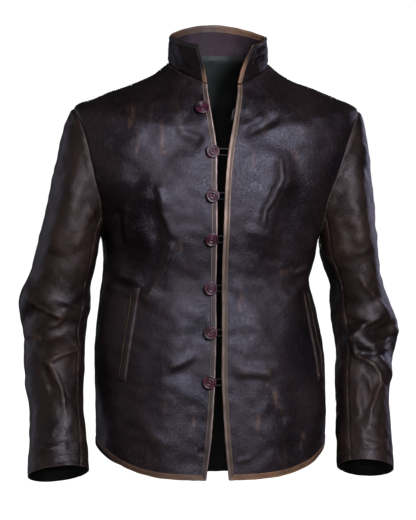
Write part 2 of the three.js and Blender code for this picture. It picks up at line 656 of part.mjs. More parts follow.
/** Angle on the front of a ring at distance x from the centre plane, by halving. */
function angleAt(level, x) {
  let low = 0;
  let high = 90;
  for (let pass = 0; pass < 24; pass += 1) {
    const middle = (low + high) / 2;
    const reach = bodyPoint(level, Math.sign(x) * middle).x - bodyPoint(level, 0).x;
    if (Math.abs(reach) < Math.abs(x)) low = middle;
    else high = middle;
  }
  return Math.sign(x) * low;
}

POCKET_WELTS.forEach(({ side, x0, z0, x1, z1 }) => {
  const grid = Array.from({ length: WELT_STEPS + 1 }, (_, i) => {
    const t = i / WELT_STEPS;
    return [-0.5, 0, 0.5].map((across) => (
      frontCellAt(side * (lerp(x0, x1, t) + across * WELT_WIDTH), lerp(z0, z1, t))
    ));
  });
  const name = side < 0 ? "right_pocket_welt" : "left_pocket_welt";
  addPiece(name, wallGeometry(grid, WELT_LIFT + WELT_THICKNESS, WELT_LIFT), leather);
});

/** Ring position where the centre front has a given height. */
function levelAtFront(z) {
  let low = 0;
  let high = NECK;
  for (let pass = 0; pass < 24; pass += 1) {
    const middle = (low + high) / 2;
    if (along(BODY_RINGS, "frontZ", middle) < z) low = middle;
    else high = middle;
  }
  return low;
}

/** A shank button with a raised rim, its axis along Y and its foot at a given height. */
function buttonGeometry(foot) {
  const radius = BUTTON_DIAMETER / 2;
  const profile = [
    [0, foot], [SHANK_RADIUS, foot], [SHANK_RADIUS, CAP_BOTTOM], [radius, CAP_EDGE],
    [radius - RIM_SLOPE, CAP_RIM], [radius - RIM_WIDTH, CAP_DISH], [0, CAP_DISH],
  ].map(([r, h]) => new THREE.Vector2(r, h));
  const geometry = new THREE.LatheGeometry(profile, BUTTON_SIDES);
  geometry.deleteAttribute("uv");
  geometry.deleteAttribute("normal");
  return mergeVertices(geometry, 0.001);
}

/** A cord along a smooth path, with a round section. */
function cordGeometry(points) {
  const section = new THREE.Shape();
  for (let i = 0; i < CORD_SIDES; i += 1) {
    const turn = (2 * Math.PI * i) / CORD_SIDES;
    const place = [Math.cos(turn) * LOOP_CORD / 2, Math.sin(turn) * LOOP_CORD / 2];
    if (i === 0) section.moveTo(...place);
    else section.lineTo(...place);
  }
  const extrudePath = new THREE.CatmullRomCurve3(points, false, "centripetal");
  const geometry = new THREE.ExtrudeGeometry(section, { steps: LOOP_STEPS, bevelEnabled: false, extrudePath });
  geometry.deleteAttribute("uv");
  geometry.deleteAttribute("normal");
  return mergeVertices(geometry, 0.001);
}

BUTTONS.forEach(({ z, inset }, i) => {
  const number = i + 1;
  const level = levelAtFront(z);
  const seat = bodyCell(level, frontAngle(level, openingX(level, -1) - inset));
  const onBinding = inset < BINDING_WIDTH + SHANK_RADIUS;
  const foot = SHANK_FOOT + (onBinding ? BINDING_THICKNESS : 0);
  const button = addPiece(`button_${number}`, buttonGeometry(foot), buttonGloss);
  button.position.copy(seat.point);
  button.quaternion.setFromUnitVectors(new THREE.Vector3(0, 1, 0), seat.normal);

  addPiece(`loop_${number}`, cordGeometry(i === 0 ? looseLoop(z) : fastenedLoop(z, inset)), cord);
});

/** A point over the right front, inset from its edge and raised from a button's height. */
function overRightFront(z, inset, up, height) {
  const level = levelAtFront(z + up);
  return moved(bodyCell(level, frontAngle(level, openingX(level, -1) - inset)), height);
}

/** Where a loop's leg leaves the left front's edge, and the point it first runs to. */
function loopRoot(z, up) {
  const level = levelAtFront(z + up);
  const root = bodyCell(level, frontAngle(level, openingX(level, 1))).point;
  root.x -= SEAM_GAP;
  return [root, root.clone().setX(root.x - LOOP_ROOT_LENGTH)];
}

/** Path of a loop that reaches from the left front's edge round a button's shank. */
function fastenedLoop(z, inset) {
  const leg = (up) => [
    ...loopRoot(z, up),
    overRightFront(z, 0, up, LOOP_HEIGHT),
    overRightFront(z, inset / 2, up, LOOP_HEIGHT),
  ];
  const bend = [90, 45, 0, -45, -90].map((turn) => overRightFront(
    z,
    inset + Math.cos(degToRad(turn)) * LOOP_SPREAD,
    Math.sin(degToRad(turn)) * LOOP_SPREAD,
    LOOP_HEIGHT,
  ));
  return [...leg(LOOP_SPREAD), ...bend, ...leg(-LOOP_SPREAD).reverse()];
}

/** Path of a loop left open, which hangs off the left front's edge. */
function looseLoop(z) {
  const leg = (up) => {
    const [root, ahead] = loopRoot(z, up);
    return [root, ahead, ahead.clone().add(LOOSE_REACH)];
  };
  const upper = leg(LOOP_SPREAD);
  const lower = leg(-LOOP_SPREAD);
  const bend = upper[2].clone().lerp(lower[2], 0.5).add(LOOSE_SAG);
  return [...upper, bend, ...lower.reverse()];
}

export default jacket;
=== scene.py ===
"""Stand-collar leather jacket: leather shells, bindings, sewing, buttons and loops."""

import logging
import math
from collections.abc import Callable, Sequence
from dataclasses import dataclass, field
from enum import Enum

import bpy
import numpy as np
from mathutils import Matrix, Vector
from mathutils.kdtree import KDTree


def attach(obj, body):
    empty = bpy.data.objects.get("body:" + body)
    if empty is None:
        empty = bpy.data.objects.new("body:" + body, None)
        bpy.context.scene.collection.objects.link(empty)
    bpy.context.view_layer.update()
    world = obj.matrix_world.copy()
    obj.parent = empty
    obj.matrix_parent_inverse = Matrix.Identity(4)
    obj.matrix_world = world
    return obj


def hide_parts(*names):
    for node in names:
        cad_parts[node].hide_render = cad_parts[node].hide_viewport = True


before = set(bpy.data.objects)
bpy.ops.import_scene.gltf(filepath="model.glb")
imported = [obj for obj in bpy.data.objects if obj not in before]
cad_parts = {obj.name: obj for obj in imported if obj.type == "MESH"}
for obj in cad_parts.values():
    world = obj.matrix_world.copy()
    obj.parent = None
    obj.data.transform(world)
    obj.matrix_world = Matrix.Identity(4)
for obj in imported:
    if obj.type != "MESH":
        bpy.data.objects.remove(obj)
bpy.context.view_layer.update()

log = logging.getLogger("jacket")
Array = np.ndarray
Cells = tuple[Array, Array]
Colour = tuple[float, float, float]
Path = Sequence[tuple[float, float]]
Socket = bpy.types.NodeSocket
Piece = bpy.types.Object

# ---------------------------------------------------------------- sizes, in millimetres

MM = 0.001
BODY_WALL = 2.0
SLEEVE_WALL = 1.8
SEAM_GAP = 0.3
ARMHOLE_GAP = 0.05
BINDING_WIDTH = 9.0
LINING_CLEARANCE = 0.7
LINING_WALL = 0.7
LEAN = 12.6
SHOULDER_DROP = 1.0
HALF_SPAN = 240.0
UNDERARM, SHOULDER_TIP, NECK = 5, 9, 15
ARMHOLE_FRONT, ARMHOLE_BACK = 17.0, 18.0
EDGE_CROWDING = 3
SIDE_SOFTNESS = 0.15
HEM_CORNER, HEM_CLIMB = 0.47, 1.9
COLUMN_ARC = 20.0
SLEEVE_COLUMNS = 16
FRONT_SEAM, BACK_SEAM = 2, 14
COLLAR_HEIGHT = 64.0
COLLAR_MM_PER_DEGREE = 1.42


class Side(Enum):
    """The wearer's side, with the sign of its X."""

    RIGHT = -1
    LEFT = 1

    @property
    def label(self) -> str:
        """The side's name in lower case."""
        return self.name.lower()


class Face(Enum):
    """Which half of the body a fold lies on."""

    FRONT = "front"
    BACK = "back"


# ---------------------------------------------------------------- tables and curves


@dataclass(frozen=True)
class Table:
    """Rows of named columns, read as smooth curves or as straight stretches."""

    columns: tuple[str, ...]
    rows: tuple[tuple[float, ...], ...]

    def column(self, name: str) -> Array:
        """One column's values."""
        return np.array([row[self.columns.index(name)] for row in self.rows], float)

    def smooth(self, name: str, position: Array) -> Array:
        """Catmull-Rom value of a column at a real row position.

        Args:
            name: The column.
            position: Row positions, held between the first and the last row.

        Returns:
            The column's values there.
        """
        values = self.column(name)
        last = len(values) - 1
        held = np.clip(np.asarray(position, float), 0, last)
        i = np.minimum(held.astype(int), last - 1)
        t = held - i
        b, c = values[i], values[i + 1]
        a = np.where(i > 0, values[np.maximum(i - 1, 0)], 2 * b - c)
        d = np.where(i + 2 <= last, values[np.minimum(i + 2, last)], 2 * c - b)
        bend = (3 * (b - c) + d - a) * t + (2 * a - 5 * b + 4 * c - d)
        return b + 0.5 * t * (c - a + t * bend)

    def between(self, key: str, name: str, value: Array, ease: float = 0.0) -> Array:
        """Value of a column at a rising key, averaged over a short stretch if eased.

        Args:
            key: The column that rises from row to row.
            name: The column that is read.
            value: Values of the key.
            ease: Half the stretch that is averaged, which rounds the table's corners.

        Returns:
            The column's values there.
        """
        keys, values = self.column(key), self.column(name)
        steps = (-1.0, -0.5, 0.0, 0.5, 1.0) if ease else (0.0,)
        return sum(np.interp(value + ease * s, keys, values) for s in steps) / len(steps)


BODY_RINGS = Table(
    ("half_width", "shift_x", "side_z", "front_y", "front_z", "back_y", "back_z", "square"),
    (
        (193, 0, -611, -118, -668, 124, -676, 2.4),
        (194, 0, -531, -119, -572, 124, -575, 2.4),
        (191, -3, -440, -115, -460, 117, -460, 2.35),
        (175, -8, -348, -109, -352, 104, -352, 2.3),
        (178, -2, -306, -114, -304, 109, -302, 2.4),
        (183, 0, -266, -119, -262, 117, -256, 2.5),
        (199, 0, -214, -121, -222, 121, -210, 2.5),
        (223, 0, -161, -119, -184, 123, -164, 2.5),
        (240, 0, -105, -114, -147, 119, -118, 2.4),
        (240, 0, -57, -107, -111, 110, -76, 2.3),
        (206, 0, -40, -102, -93, 105, -57, 2.2),
        (171, 0, -25, -96, -76, 99, -39, 2.15),
        (140, 0, -14, -90, -61, 92, -21, 2.1),
        (115, 0, -3, -84, -46, 84, -4, 2),
        (97, 0, 9, -78, -32, 74, 14, 2),
        (84, 0, 21, -72, -18, 64, 30, 2),
    ),
)
OPENING = Table(
    ("z", "right", "left"),
    (
        (-680, -26, 16),
        (-600, -16, 8),
        (-511, -10, 3),
        (-427, -7, 4),
        (-292, -6.5, 5),
        (-200, -6.5, 8),
        (-124, -9, 12),
        (-70, -21, 19),
        (-18, -31, 27),
    ),
)
SECTION_COLUMNS = ("x", "y", "z", "half_width", "half_depth", "turn")
SLEEVE_SECTIONS = {
    Side.RIGHT: Table(
        SECTION_COLUMNS,
        (
            (242, 8, -300, 51, 62, 0),
            (252, 13, -342, 52, 61, 0),
            (261, 14, -384, 61, 60, 0),
            (262, 5, -424, 52, 58, 0),
            (264, -10, -466, 51, 56, 0),
            (265, -26, -508, 49, 54, 0),
            (264, -42, -551, 45, 52, 0),
            (263, -57, -592, 47, 51, 2),
            (263, -70, -630, 50, 50, 5),
            (264, -80, -657, 51, 50, 7),
        ),
    ),
    Side.LEFT: Table(
        SECTION_COLUMNS,
        (
            (239, 8, -300, 49, 62, 0),
            (250, 13, -345, 44, 61, 0),
            (257, 16, -385, 50, 60, 0),
            (266, 9, -430, 55, 58, 0),
            (262, -8, -470, 49, 56, 0),
            (254, -25, -510, 45, 54, 0),
            (252, -42, -551, 45, 52, 0),
            (251, -57, -592, 46, 51, 2),
            (250, -70, -628, 47, 50, 5),
            (250, -80, -654, 47, 49, 7),
        ),
    ),
}
COLLAR_TOP = {"half_width": 81, "side_z": 65, "front_y": -80, "front_z": 44, "back_y": 63, "back_z": 87}
COLLAR_ENDS = Table(
    ("rise", "right", "left"),
    ((0, -31, 27), (0.35, -36, 31), (0.7, -43, 40), (1, -50, 54)),
)
BUTTONS = Table(
    ("z", "inset"),
    ((-63, 15), (-129, 6.5), (-201, 7), (-272, 9), (-353, 9), (-426, 9), (-507, 8.5)),
)


@dataclass(frozen=True)
class Fold:
    """A ridge (height above 0) or a trough along a given line.

    The path's points are x and z on a front or back, arc and z on a sleeve, and arc and height
    on the collar. A lean above 0 makes the fold's left flank steep and its right one shallow.
    """

    path: tuple[tuple[float, float], ...]
    width: float
    height: float
    lean: float = 0.0
    fade: float = 0.0

    def relief(self, a: Array, b: Array) -> Array:
        """Height of the fold at points given in its own two coordinates."""
        points = np.array(self.path, float)
        lengths = np.hypot(*np.diff(points, axis=0).T)
        starts = np.concatenate([[0.0], np.cumsum(lengths)[:-1]])
        best = np.full(np.shape(a), np.inf)
        share = np.zeros(np.shape(a))
        flank = np.ones(np.shape(a))
        for (p, q), length, start in zip(zip(points[:-1], points[1:]), lengths, starts):
            da, db = (q - p) / length
            run = (a - p[0]) * da + (b - p[1]) * db
            t = np.clip(run, 0, length)
            distance = np.hypot(a - p[0] - t * da, b - p[1] - t * db)
            nearer = distance < best
            cross = (a - p[0]) * db - (b - p[1]) * da
            best = np.where(nearer, distance, best)
            share = np.where(nearer, (start + t) / lengths.sum(), share)
            flank = np.where(nearer, np.sign(cross), flank)
        width = self.width * (1 + self.lean * flank)
        ends = 1.0
        if self.fade > 0:
            ends = smoothstep(share, 0, self.fade) * smoothstep(1 - share, 0, self.fade)
        return self.height * ends * np.exp(-0.5 * (best / width) ** 2)


def smoothstep(value: Array, low: float, high: float) -> Array:
    """Smooth rise from 0 at low to 1 at high."""
    t = np.clip((value - low) / (high - low), 0, 1)
    return t * t * (3 - 2 * t)


def lerp(a: Array, b: Array, t: Array) -> Array:
    """Straight mix of two values."""
    return a + (b - a) * t


def unit(vectors: Array) -> Array:
    """Vectors scaled to length 1."""
    return vectors / np.maximum(np.linalg.norm(vectors, axis=-1, keepdims=True), 1e-12)


def undulation(points: Array, wavelength: float, seed: int, waves: int = 14) -> Array:
    """Smooth uneven swell of about unit size at points in millimetres.

    Args:
        points: Points, with x, y and z in the last axis.
        wavelength: Middle wavelength of the swell.
        seed: Fixed seed of its directions and phases.
        waves: How many sine waves it sums.

    Returns:
        The swell at each point.
    """
    random = np.random.default_rng(seed)
    total = np.zeros(points.shape[:-1])
    for _ in range(waves):
        direction = random.normal(size=3)
        direction /= np.linalg.norm(direction)
        length = wavelength * random.uniform(0.7, 1.6)
        phase = random.uniform(0, 2 * math.pi)
        total += np.sin(points @ direction * (2 * math.pi / length) + phase)
    return total / math.sqrt(waves / 2)


FRONT, BACK = Face.FRONT, Face.BACK
CRISPNESS = 1.4


def line(x0: float, z0: float, x1: float, z1: float, width: float, height: float) -> Fold:
    """A plain straight fold."""
    return Fold(((x0, z0), (x1, z1)), width, height)


def crease(
    width: float, height: float, *points: tuple[float, float], lean: float = 0.0, fade: float = 0.3
) -> Fold:
    """A curved fold that fades out at its ends."""
    return Fold(points, width, height, lean, fade)


# The large folds of the solids, and after them the finer ones that only these shells have.
BODY_FOLDS: dict[Face, tuple[Fold, ...]] = {
    FRONT: (
        line(103, -139, 103, -176, 13, 5),
        line(103, -176, 75, -262, 14, 5.5),
        line(130, -215, 104, -300, 15, -3.5),
        line(156, -330, 120, -368, 12, 5),
        line(60, -95, 125, -140, 15, -3),
        line(62, -420, 78, -640, 22, 4),
        line(132, -440, 140, -610, 18, -3.5),
        line(-84, -210, -80, -330, 17, 4.5),
        line(-60, -105, -128, -165, 15, -3.5),
        line(-118, -190, -146, -262, 13, 4),
        line(-150, -335, -112, -365, 12, 4),
        line(-70, -400, -88, -645, 23, 4),
        line(-38, -430, -46, -640, 16, -3),
    ),
    BACK: (
        line(20, -300, 92, -352, 15, 4.5),
        line(-34, -322, -108, -366, 14, 5),
        line(120, -150, 96, -258, 17, 4),
        line(-112, -160, -126, -270, 15, 4.5),
        line(-52, -60, 66, -52, 15, -3),
        line(62, -420, 84, -640, 22, 5),
        line(-18, -440, -30, -650, 20, -4),
        line(-92, -410, -112, -620, 22, 5),
    ),
}
FINE_BODY_FOLDS: dict[Face, tuple[Fold, ...]] = {
    FRONT: (
        # wearer's left front
        crease(3.8, 2.5, (98, -132), (96, -173), (85, -205), (72, -226), (68, -262), lean=0.3, fade=0.16),
        crease(9, -1.8, (108, -190), (96, -232), (84, -272)),
        crease(6.5, -2, (36, -108), (50, -94), (82, -78), (102, -62), lean=-0.25, fade=0.25),
        crease(6, 1.5, (28, -88), (52, -80), (74, -62), lean=0.2),
        crease(5, 1.1, (34, -66), (44, -44), (50, -28)),
        crease(4, 2.4, (128, -334), (138, -325), (153, -316), lean=0.4, fade=0.2),
        crease(6.5, -2.2, (150, -328), (132, -346), (108, -366), lean=0.2),
        crease(6, -1.5, (64, -302), (100, -308), (114, -314)),
        crease(7.5, 1.8, (20, -494), (52, -493), (92, -498), lean=-0.4, fade=0.28),
        crease(8, -1.4, (26, -472), (66, -473), (98, -480)),
        crease(8, -1.6, (72, -548), (96, -562), (118, -574), lean=0.2),
        crease(4, 1.2, (22, -642), (38, -634), (56, -632), lean=0.3),
        crease(7, -1.1, (60, -640), (74, -622), (92, -606)),
        crease(8, -1.6, (150, -300), (160, -345), (156, -400)),
        crease(6, 1.6, (172, -232), (160, -262), (158, -300), lean=0.3),
        crease(5, -1.6, (182, -214), (168, -246), (170, -286)),
        crease(8, 1, (120, -84), (150, -98), (172, -124)),
        # wearer's right front
        crease(
            4.6, 2.2, (-104, -178), (-96, -206), (-94, -231), (-83, -253), (-76, -276),
            lean=-0.3, fade=0.16,
        ),
        crease(
            4.4, 2.1, (-76, -272), (-80, -292), (-90, -324), (-108, -356), (-124, -382),
            lean=0.3, fade=0.16,
        ),
        crease(9, -2, (-112, -206), (-104, -250), (-98, -286), (-116, -330)),
        crease(6, -1.8, (-80, -92), (-54, -100), (-28, -110), lean=0.25, fade=0.25),
        crease(6.5, 1.4, (-40, -34), (-34, -62), (-24, -88)),
        crease(8, -1.1, (-58, -40), (-62, -70), (-76, -98)),
        crease(5.5, 1.8, (-88, -486), (-60, -474), (-38, -462), lean=-0.3),
        crease(6.5, -1.3, (-92, -502), (-62, -490), (-40, -482)),
        crease(8, 1.5, (-128, -584), (-104, -598), (-80, -622), lean=0.2),
        crease(3.2, -1.8, (-40, -624), (-32, -621), (-24, -620), lean=0.2, fade=0.25),
        crease(5, -1.8, (-170, -214), (-158, -246), (-158, -286)),
        crease(6, 1.5, (-160, -226), (-149, -258), (-146, -296), lean=-0.3),
        crease(5, 1.8, (-164, -322), (-146, -334), (-122, -338), lean=0.3),
        crease(5, -1.6, (-168, -342), (-148, -352), (-132, -352)),
        crease(8, 1.1, (-124, -92), (-152, -112), (-176, -140)),
        crease(9, -1.2, (-146, -470), (-152, -520), (-148, -580)),
    ),
    BACK: (
        crease(5.5, 2, (30, -292), (62, -314), (98, -322), lean=0.3, fade=0.25),
        crease(6, 2.3, (-20, -300), (-60, -322), (-112, -330), lean=-0.3, fade=0.25),
        crease(6.5, -1.9, (-8, -330), (40, -344), (70, -366)),
        crease(6, 1.7, (-46, -352), (-84, -380), (-128, -388), lean=0.3),
        crease(5, 1.9, (150, -336), (128, -348), (104, -350), lean=-0.3, fade=0.25),
        crease(5, 1.9, (-160, -322), (-140, -336), (-118, -338), lean=0.3, fade=0.25),
        crease(6, 1.9, (148, -170), (132, -206), (124, -250), lean=-0.35, fade=0.25),
        crease(6, -1.7, (164, -196), (150, -236), (146, -276)),
        crease(6.5, 1.8, (-150, -176), (-140, -216), (-136, -262), lean=0.35, fade=0.25),
        crease(6, -1.7, (-168, -206), (-156, -240), (-150, -284)),
        crease(7, 1.2, (-70, -42), (-24, -66), (40, -62), (82, -40), lean=0.2),
        crease(8, 1.4, (40, -520), (54, -580), (56, -648), lean=0.2, fade=0.25),
        crease(9, -1.3, (-56, -500), (-66, -566), (-62, -640)),
        crease(8, -1.4, (118, -470), (128, -540), (126, -600)),
        crease(8, 1.2, (-140, -462), (-150, -520), (-146, -590), lean=0.2),
    ),
}


RUBS: dict[Face, tuple[Fold, ...]] = {
    FRONT: (
        crease(2.6, 0.9, (-152, -46), (-151, -70), (-154, -94)),
        crease(2.2, 0.7, (-140, -80), (-138, -112), (-141, -146)),
        crease(3, 0.8, (-102, -72), (-100, -108), (-103, -148)),
        crease(4, 0.9, (-94, -124), (-92, -132)),
        crease(2, 0.6, (-121, -60), (-119, -84)),
        crease(2.2, 0.6, (-66, -262), (-64, -300)),
        crease(2.8, 0.8, (-146, -404), (-149, -442)),
        crease(2.6, 0.5, (-88, -520), (-90, -566)),
        crease(2.2, 0.6, (-44, -540), (-46, -590)),
        crease(3, 0.9, (86, -506), (96, -549), (109, -562), fade=0.25),
        crease(4.5, 0.7, (120, -122), (126, -146)),
        crease(3.2, 0.9, (36, -354), (35, -400)),
        crease(2.6, 0.8, (61, -552), (60, -598)),
        crease(3, 0.8, (75, -478), (77, -522)),
        crease(3, 0.6, (100, -330), (130, -322)),
        crease(2.4, 0.5, (52, -120), (54, -168)),
        crease(3, 0.6, (148, -590), (140, -622)),
    ),
    BACK: (
        crease(3, 0.8, (-120, -90), (-118, -150)),
        crease(2.6, 0.7, (96, -70), (98, -128)),
        crease(3, 0.6, (40, -210), (38, -262)),
        crease(3, 0.8, (-60, -430), (-64, -486)),
        crease(2.8, 0.8, (110, -540), (104, -600)),
        crease(3, 0.7, (-128, -560), (-122, -612)),
    ),
}


# Patches of painted shade: the colour is darkened where the surface turns away from the light, mostly beside
# the armholes and down the sides.
PAINTED_SHADE_PATCHES: dict[Face, tuple[Fold, ...]] = {
    FRONT: (
        crease(27, 1, (-122, -170), (-128, -230), (-126, -290), (-134, -380), fade=0.12),
        crease(15, 0.7, (-150, -88), (-136, -104), fade=0.1),
        crease(20, 0.8, (118, -168), (132, -215), (146, -262), fade=0.2),
        crease(16, 0.6, (156, -330), (150, -430), (146, -540), fade=0.2),
        crease(14, 0.5, (-150, -420), (-156, -520), fade=0.2),
        crease(14, 0.5, (52, -250), (62, -285)),
    ),
    BACK: (
        crease(22, 0.7, (-136, -190), (-150, -290), fade=0.2),
        crease(22, 0.7, (136, -180), (150, -300), fade=0.2),
        crease(18, 0.5, (-30, -330), (40, -345)),
    ),
}


def around(c0: float, z0: float, c1: float, z1: float, width: float, height: float) -> Fold:
    """A straight fold of a sleeve, from one column and height to another."""
    return line(c0 * COLUMN_ARC, z0, c1 * COLUMN_ARC, z1, width, height)


def sleeve_fold(path: Path, width: float, height: float, lean: float = 0.0) -> Fold:
    """A fine curved fold of a sleeve through points given as column and height."""
    return Fold(tuple((c * COLUMN_ARC, z) for c, z in path), width, height, lean, 0.22)


SLEEVE_FOLDS: dict[Side, tuple[Fold, ...]] = {
    Side.RIGHT: (
        around(6.4, -368, 3.4, -406, 12, 6),
        around(3.4, -406, 5.0, -424, 11, 5),
        around(5.6, -396, 7.4, -412, 12, -4),
        around(2.5, -462, 4.4, -484, 12, 5),
        around(4.4, -484, 3.0, -575, 13, 4),
        around(3.0, -436, 6.2, -452, 12, -4),
        around(5.2, -130, 5.8, -330, 15, 4),
        around(10.6, -372, 13.4, -392, 13, 5),
        around(9.6, -430, 12.8, -446, 13, 5),
        around(11.4, -470, 10.2, -570, 14, 4),
        around(15.2, -350, 13.8, -420, 13, -4),
    ),
    Side.LEFT: (
        around(5.4, -401, 2.9, -440, 12, 5),
        around(2.9, -440, 2.8, -464, 11, 5),
        around(2.8, -464, 6.4, -506, 12, 6),
        around(6.4, -506, 4.0, -601, 13, 4.5),
        around(4.4, -436, 6.8, -462, 12, -5),
        around(3.2, -500, 4.6, -535, 12, -4),
        around(5.0, -140, 5.2, -350, 16, 4),
        around(10.2, -395, 13.0, -420, 13, 5),
        around(12.6, -446, 9.8, -470, 13, 5),
        around(10.4, -500, 11.6, -590, 14, 4),
        around(14.6, -360, 13.6, -430, 13, -4),
    ),
}
FINE_SLEEVE_FOLDS: dict[Side, tuple[Fold, ...]] = {
    Side.RIGHT: (
        sleeve_fold(
            ((6.6, -364), (6.15, -371), (5.2, -387), (4.35, -396), (3.75, -403), (4.1, -413), (5.2, -419)),
            3.0, 2.4, 0.2,
        ),
        sleeve_fold(
            (
                (0.9, -447), (3.05, -459), (4.15, -467), (4.65, -475), (4.15, -494),
                (3.75, -516), (3.55, -538), (3.45, -572),
            ),
            3.2, 2.3, -0.2,
        ),
        sleeve_fold(((5.2, -476), (4.9, -500), (4.4, -530)), 4.4, -2.0),
        sleeve_fold(((5.4, -440), (6.6, -430), (7.6, -434)), 4.5, 2.0, 0.3),
        sleeve_fold(((3.0, -426), (4.6, -436), (6.0, -438)), 5.5, -2.2),
        sleeve_fold(((1.6, -372), (2.8, -384), (3.4, -398)), 5.0, -2.0),
        sleeve_fold(((5.8, -462), (6.8, -474), (7.4, -492)), 5.5, 1.7, 0.2),
        sleeve_fold(((3.2, -600), (4.6, -612), (6.0, -612)), 5.0, 1.6, 0.3),
        sleeve_fold(((2.4, -622), (4.0, -634), (5.6, -632)), 5.0, -1.3),
        sleeve_fold(((4.2, -150), (4.6, -210), (4.4, -280)), 9.0, 1.4, 0.2),
        sleeve_fold(((6.0, -118), (6.6, -190), (6.4, -270)), 10.0, -1.2),
        sleeve_fold(((2.6, -210), (3.4, -250), (3.8, -300)), 7.0, 1.6, -0.2),
        sleeve_fold(((11.0, -360), (12.6, -376), (14.0, -384)), 5.0, 2.4, 0.3),
        sleeve_fold(((10.0, -398), (11.6, -410), (13.2, -408)), 5.0, 2.1, -0.3),
        sleeve_fold(((9.2, -440), (10.6, -456), (12.4, -458)), 5.0, 2.2, 0.3),
        sleeve_fold(((12.0, -500), (11.4, -540), (11.8, -590)), 7.0, 1.5, 0.2),
        sleeve_fold(((14.8, -340), (15.4, -366), (14.6, -396)), 5.0, 1.6, 0.2),
    ),
    Side.LEFT: (
        sleeve_fold(
            (
                (5.9, -384), (5.2, -398), (4.65, -406), (3.45, -418), (2.65, -437),
                (2.55, -451), (2.75, -467), (3.75, -474), (4.55, -483), (5.25, -498),
                (5.4, -514), (4.8, -532), (4.2, -554), (3.8, -596),
            ),
            3.0, 2.5, 0.2,
        ),
        sleeve_fold(((3.8, -329), (4.25, -349), (5.15, -375), (5.5, -398)), 4.0, 1.6, 0.2),
        sleeve_fold(((3.7, -450), (4.55, -447), (6.2, -442)), 3.2, 1.6, 0.2),
        sleeve_fold(((3.05, -513), (2.9, -540), (3.2, -573)), 3.4, 1.3, 0.2),
        sleeve_fold(((3.2, -428), (4.3, -432), (5.6, -424), (6.8, -414)), 5.0, -2.6),
        sleeve_fold(((3.05, -459), (4.2, -463), (5.4, -466), (6.8, -462)), 4.2, -2.6),
        sleeve_fold(((3.3, -490), (4.3, -504), (4.4, -528), (3.8, -556)), 4.6, -2.0),
        sleeve_fold(((6.0, -420), (7.0, -428), (7.8, -430)), 4.5, 2.0, 0.3),
        sleeve_fold(((2.0, -404), (2.8, -416), (3.2, -430)), 5.0, -1.8),
        sleeve_fold(((5.0, -470), (6.4, -474), (7.4, -470)), 5.0, -1.6),
        sleeve_fold(((3.0, -604), (4.6, -614), (6.2, -606)), 5.0, 1.5, 0.3),
        sleeve_fold(((2.4, -560), (3.2, -590), (3.4, -622)), 6.0, 1.3, 0.2),
        sleeve_fold(((4.2, -150), (4.4, -220), (4.8, -300)), 9.0, 1.4, 0.2),
        sleeve_fold(((6.4, -130), (6.2, -210), (6.6, -300)), 10.0, -1.2),
        sleeve_fold(((2.6, -230), (3.2, -270), (3.2, -320)), 7.0, 1.5, 0.2),
        sleeve_fold(((10.6, -384), (12.0, -402), (13.6, -406)), 5.0, 2.4, 0.3),
        sleeve_fold(((9.8, -430), (11.4, -440), (13.0, -438)), 5.0, 2.0, -0.3),
        sleeve_fold(((9.4, -470), (10.8, -484), (12.4, -482)), 5.0, 2.1, 0.3),
        sleeve_fold(((12.2, -520), (11.6, -560), (12.0, -604)), 7.0, 1.4, 0.2),
        sleeve_fold(((15.0, -350), (15.4, -380), (14.6, -410)), 5.0, 1.5, 0.2),
    ),
}


def collar_fold(path: Path, width: float, height: float, lean: float = 0.0) -> Fold:
    """A fold of the collar through points given as degrees round it and share of its height."""
    return Fold(
        tuple((d * COLLAR_MM_PER_DEGREE, rise * COLLAR_HEIGHT) for d, rise in path),
        width,
        height,
        lean,
        0.25,
    )


COLLAR_FOLDS = (
    collar_fold(((30, 0.8), (40, 0.8), (54, 0.87)), 3.2, -3.8),
    collar_fold(((26, 0.66), (38, 0.66), (52, 0.72)), 3.2, 2.6, 0.2),
    collar_fold(((66, 0.95), (68, 0.6), (72, 0.15)), 3.6, 1.8, 0.2),
    collar_fold(((286, 0.6), (292, 0.35), (297, 0.1)), 4.0, 1.5, 0.2),
    collar_fold(((34, 0.6), (44, 0.52), (50, 0.38)), 6.0, -3.0),
    collar_fold(((58, 0.9), (64, 0.6), (60, 0.3)), 7.0, 1.8, 0.2),
    collar_fold(((74, 0.8), (80, 0.5), (76, 0.2)), 8.0, -1.6),
    collar_fold(((300, 0.9), (312, 0.55), (318, 0.25)), 7.0, 1.6, 0.2),
    collar_fold(((284, 0.7), (290, 0.4), (286, 0.15)), 8.0, -1.5),
    collar_fold(((326, 0.7), (332, 0.45), (336, 0.2)), 6.0, -1.2),
    collar_fold(((110, 0.5), (135, 0.42), (160, 0.5)), 8.0, 1.3, 0.2),
    collar_fold(((196, 0.46), (222, 0.38), (250, 0.5)), 8.0, -1.3),
)

# ---------------------------------------------------------------- surfaces


def settle(points: Array) -> Array:
    """Leans the garment: the neck to +X and the left shoulder down."""
    z = points[..., 2]
    moved = points.copy()
    moved[..., 0] += LEAN * (smoothstep(z, -200, 10) - 1)
    moved[..., 2] -= SHOULDER_DROP * smoothstep(z, -270, -60) * points[..., 0] / HALF_SPAN
    return moved


def relief_sum(folds: Sequence[Fold], a: Array, b: Array) -> Array:
    """Sum of the folds' heights at points."""
    return sum((fold.relief(a, b) for fold in folds), np.zeros(np.shape(a)))


def face_relief(table: dict[Face, tuple[Fold, ...]], in_front: Array, x: Array, z: Array) -> Array:
    """Sum of the folds of the half of the body that each point lies on."""
    return np.where(in_front, relief_sum(table[FRONT], x, z), relief_sum(table[BACK], x, z))


def side_rise(cosine: Array) -> Array:
    """Share of a ring's height between its side, 0, and its middle, 1."""
    soft = np.hypot(cosine, SIDE_SOFTNESS) - SIDE_SOFTNESS
    return soft / (math.hypot(1, SIDE_SOFTNESS) - SIDE_SOFTNESS)


def hem_rise(cosine: Array) -> Array:
    """The same share for the shirt-tail hem, which climbs late and steeply to the side."""
    climb = 1 - np.exp(-((np.abs(cosine) / HEM_CORNER) ** HEM_CLIMB))
    return climb / (1 - math.exp(-((1 / HEM_CORNER) ** HEM_CLIMB)))


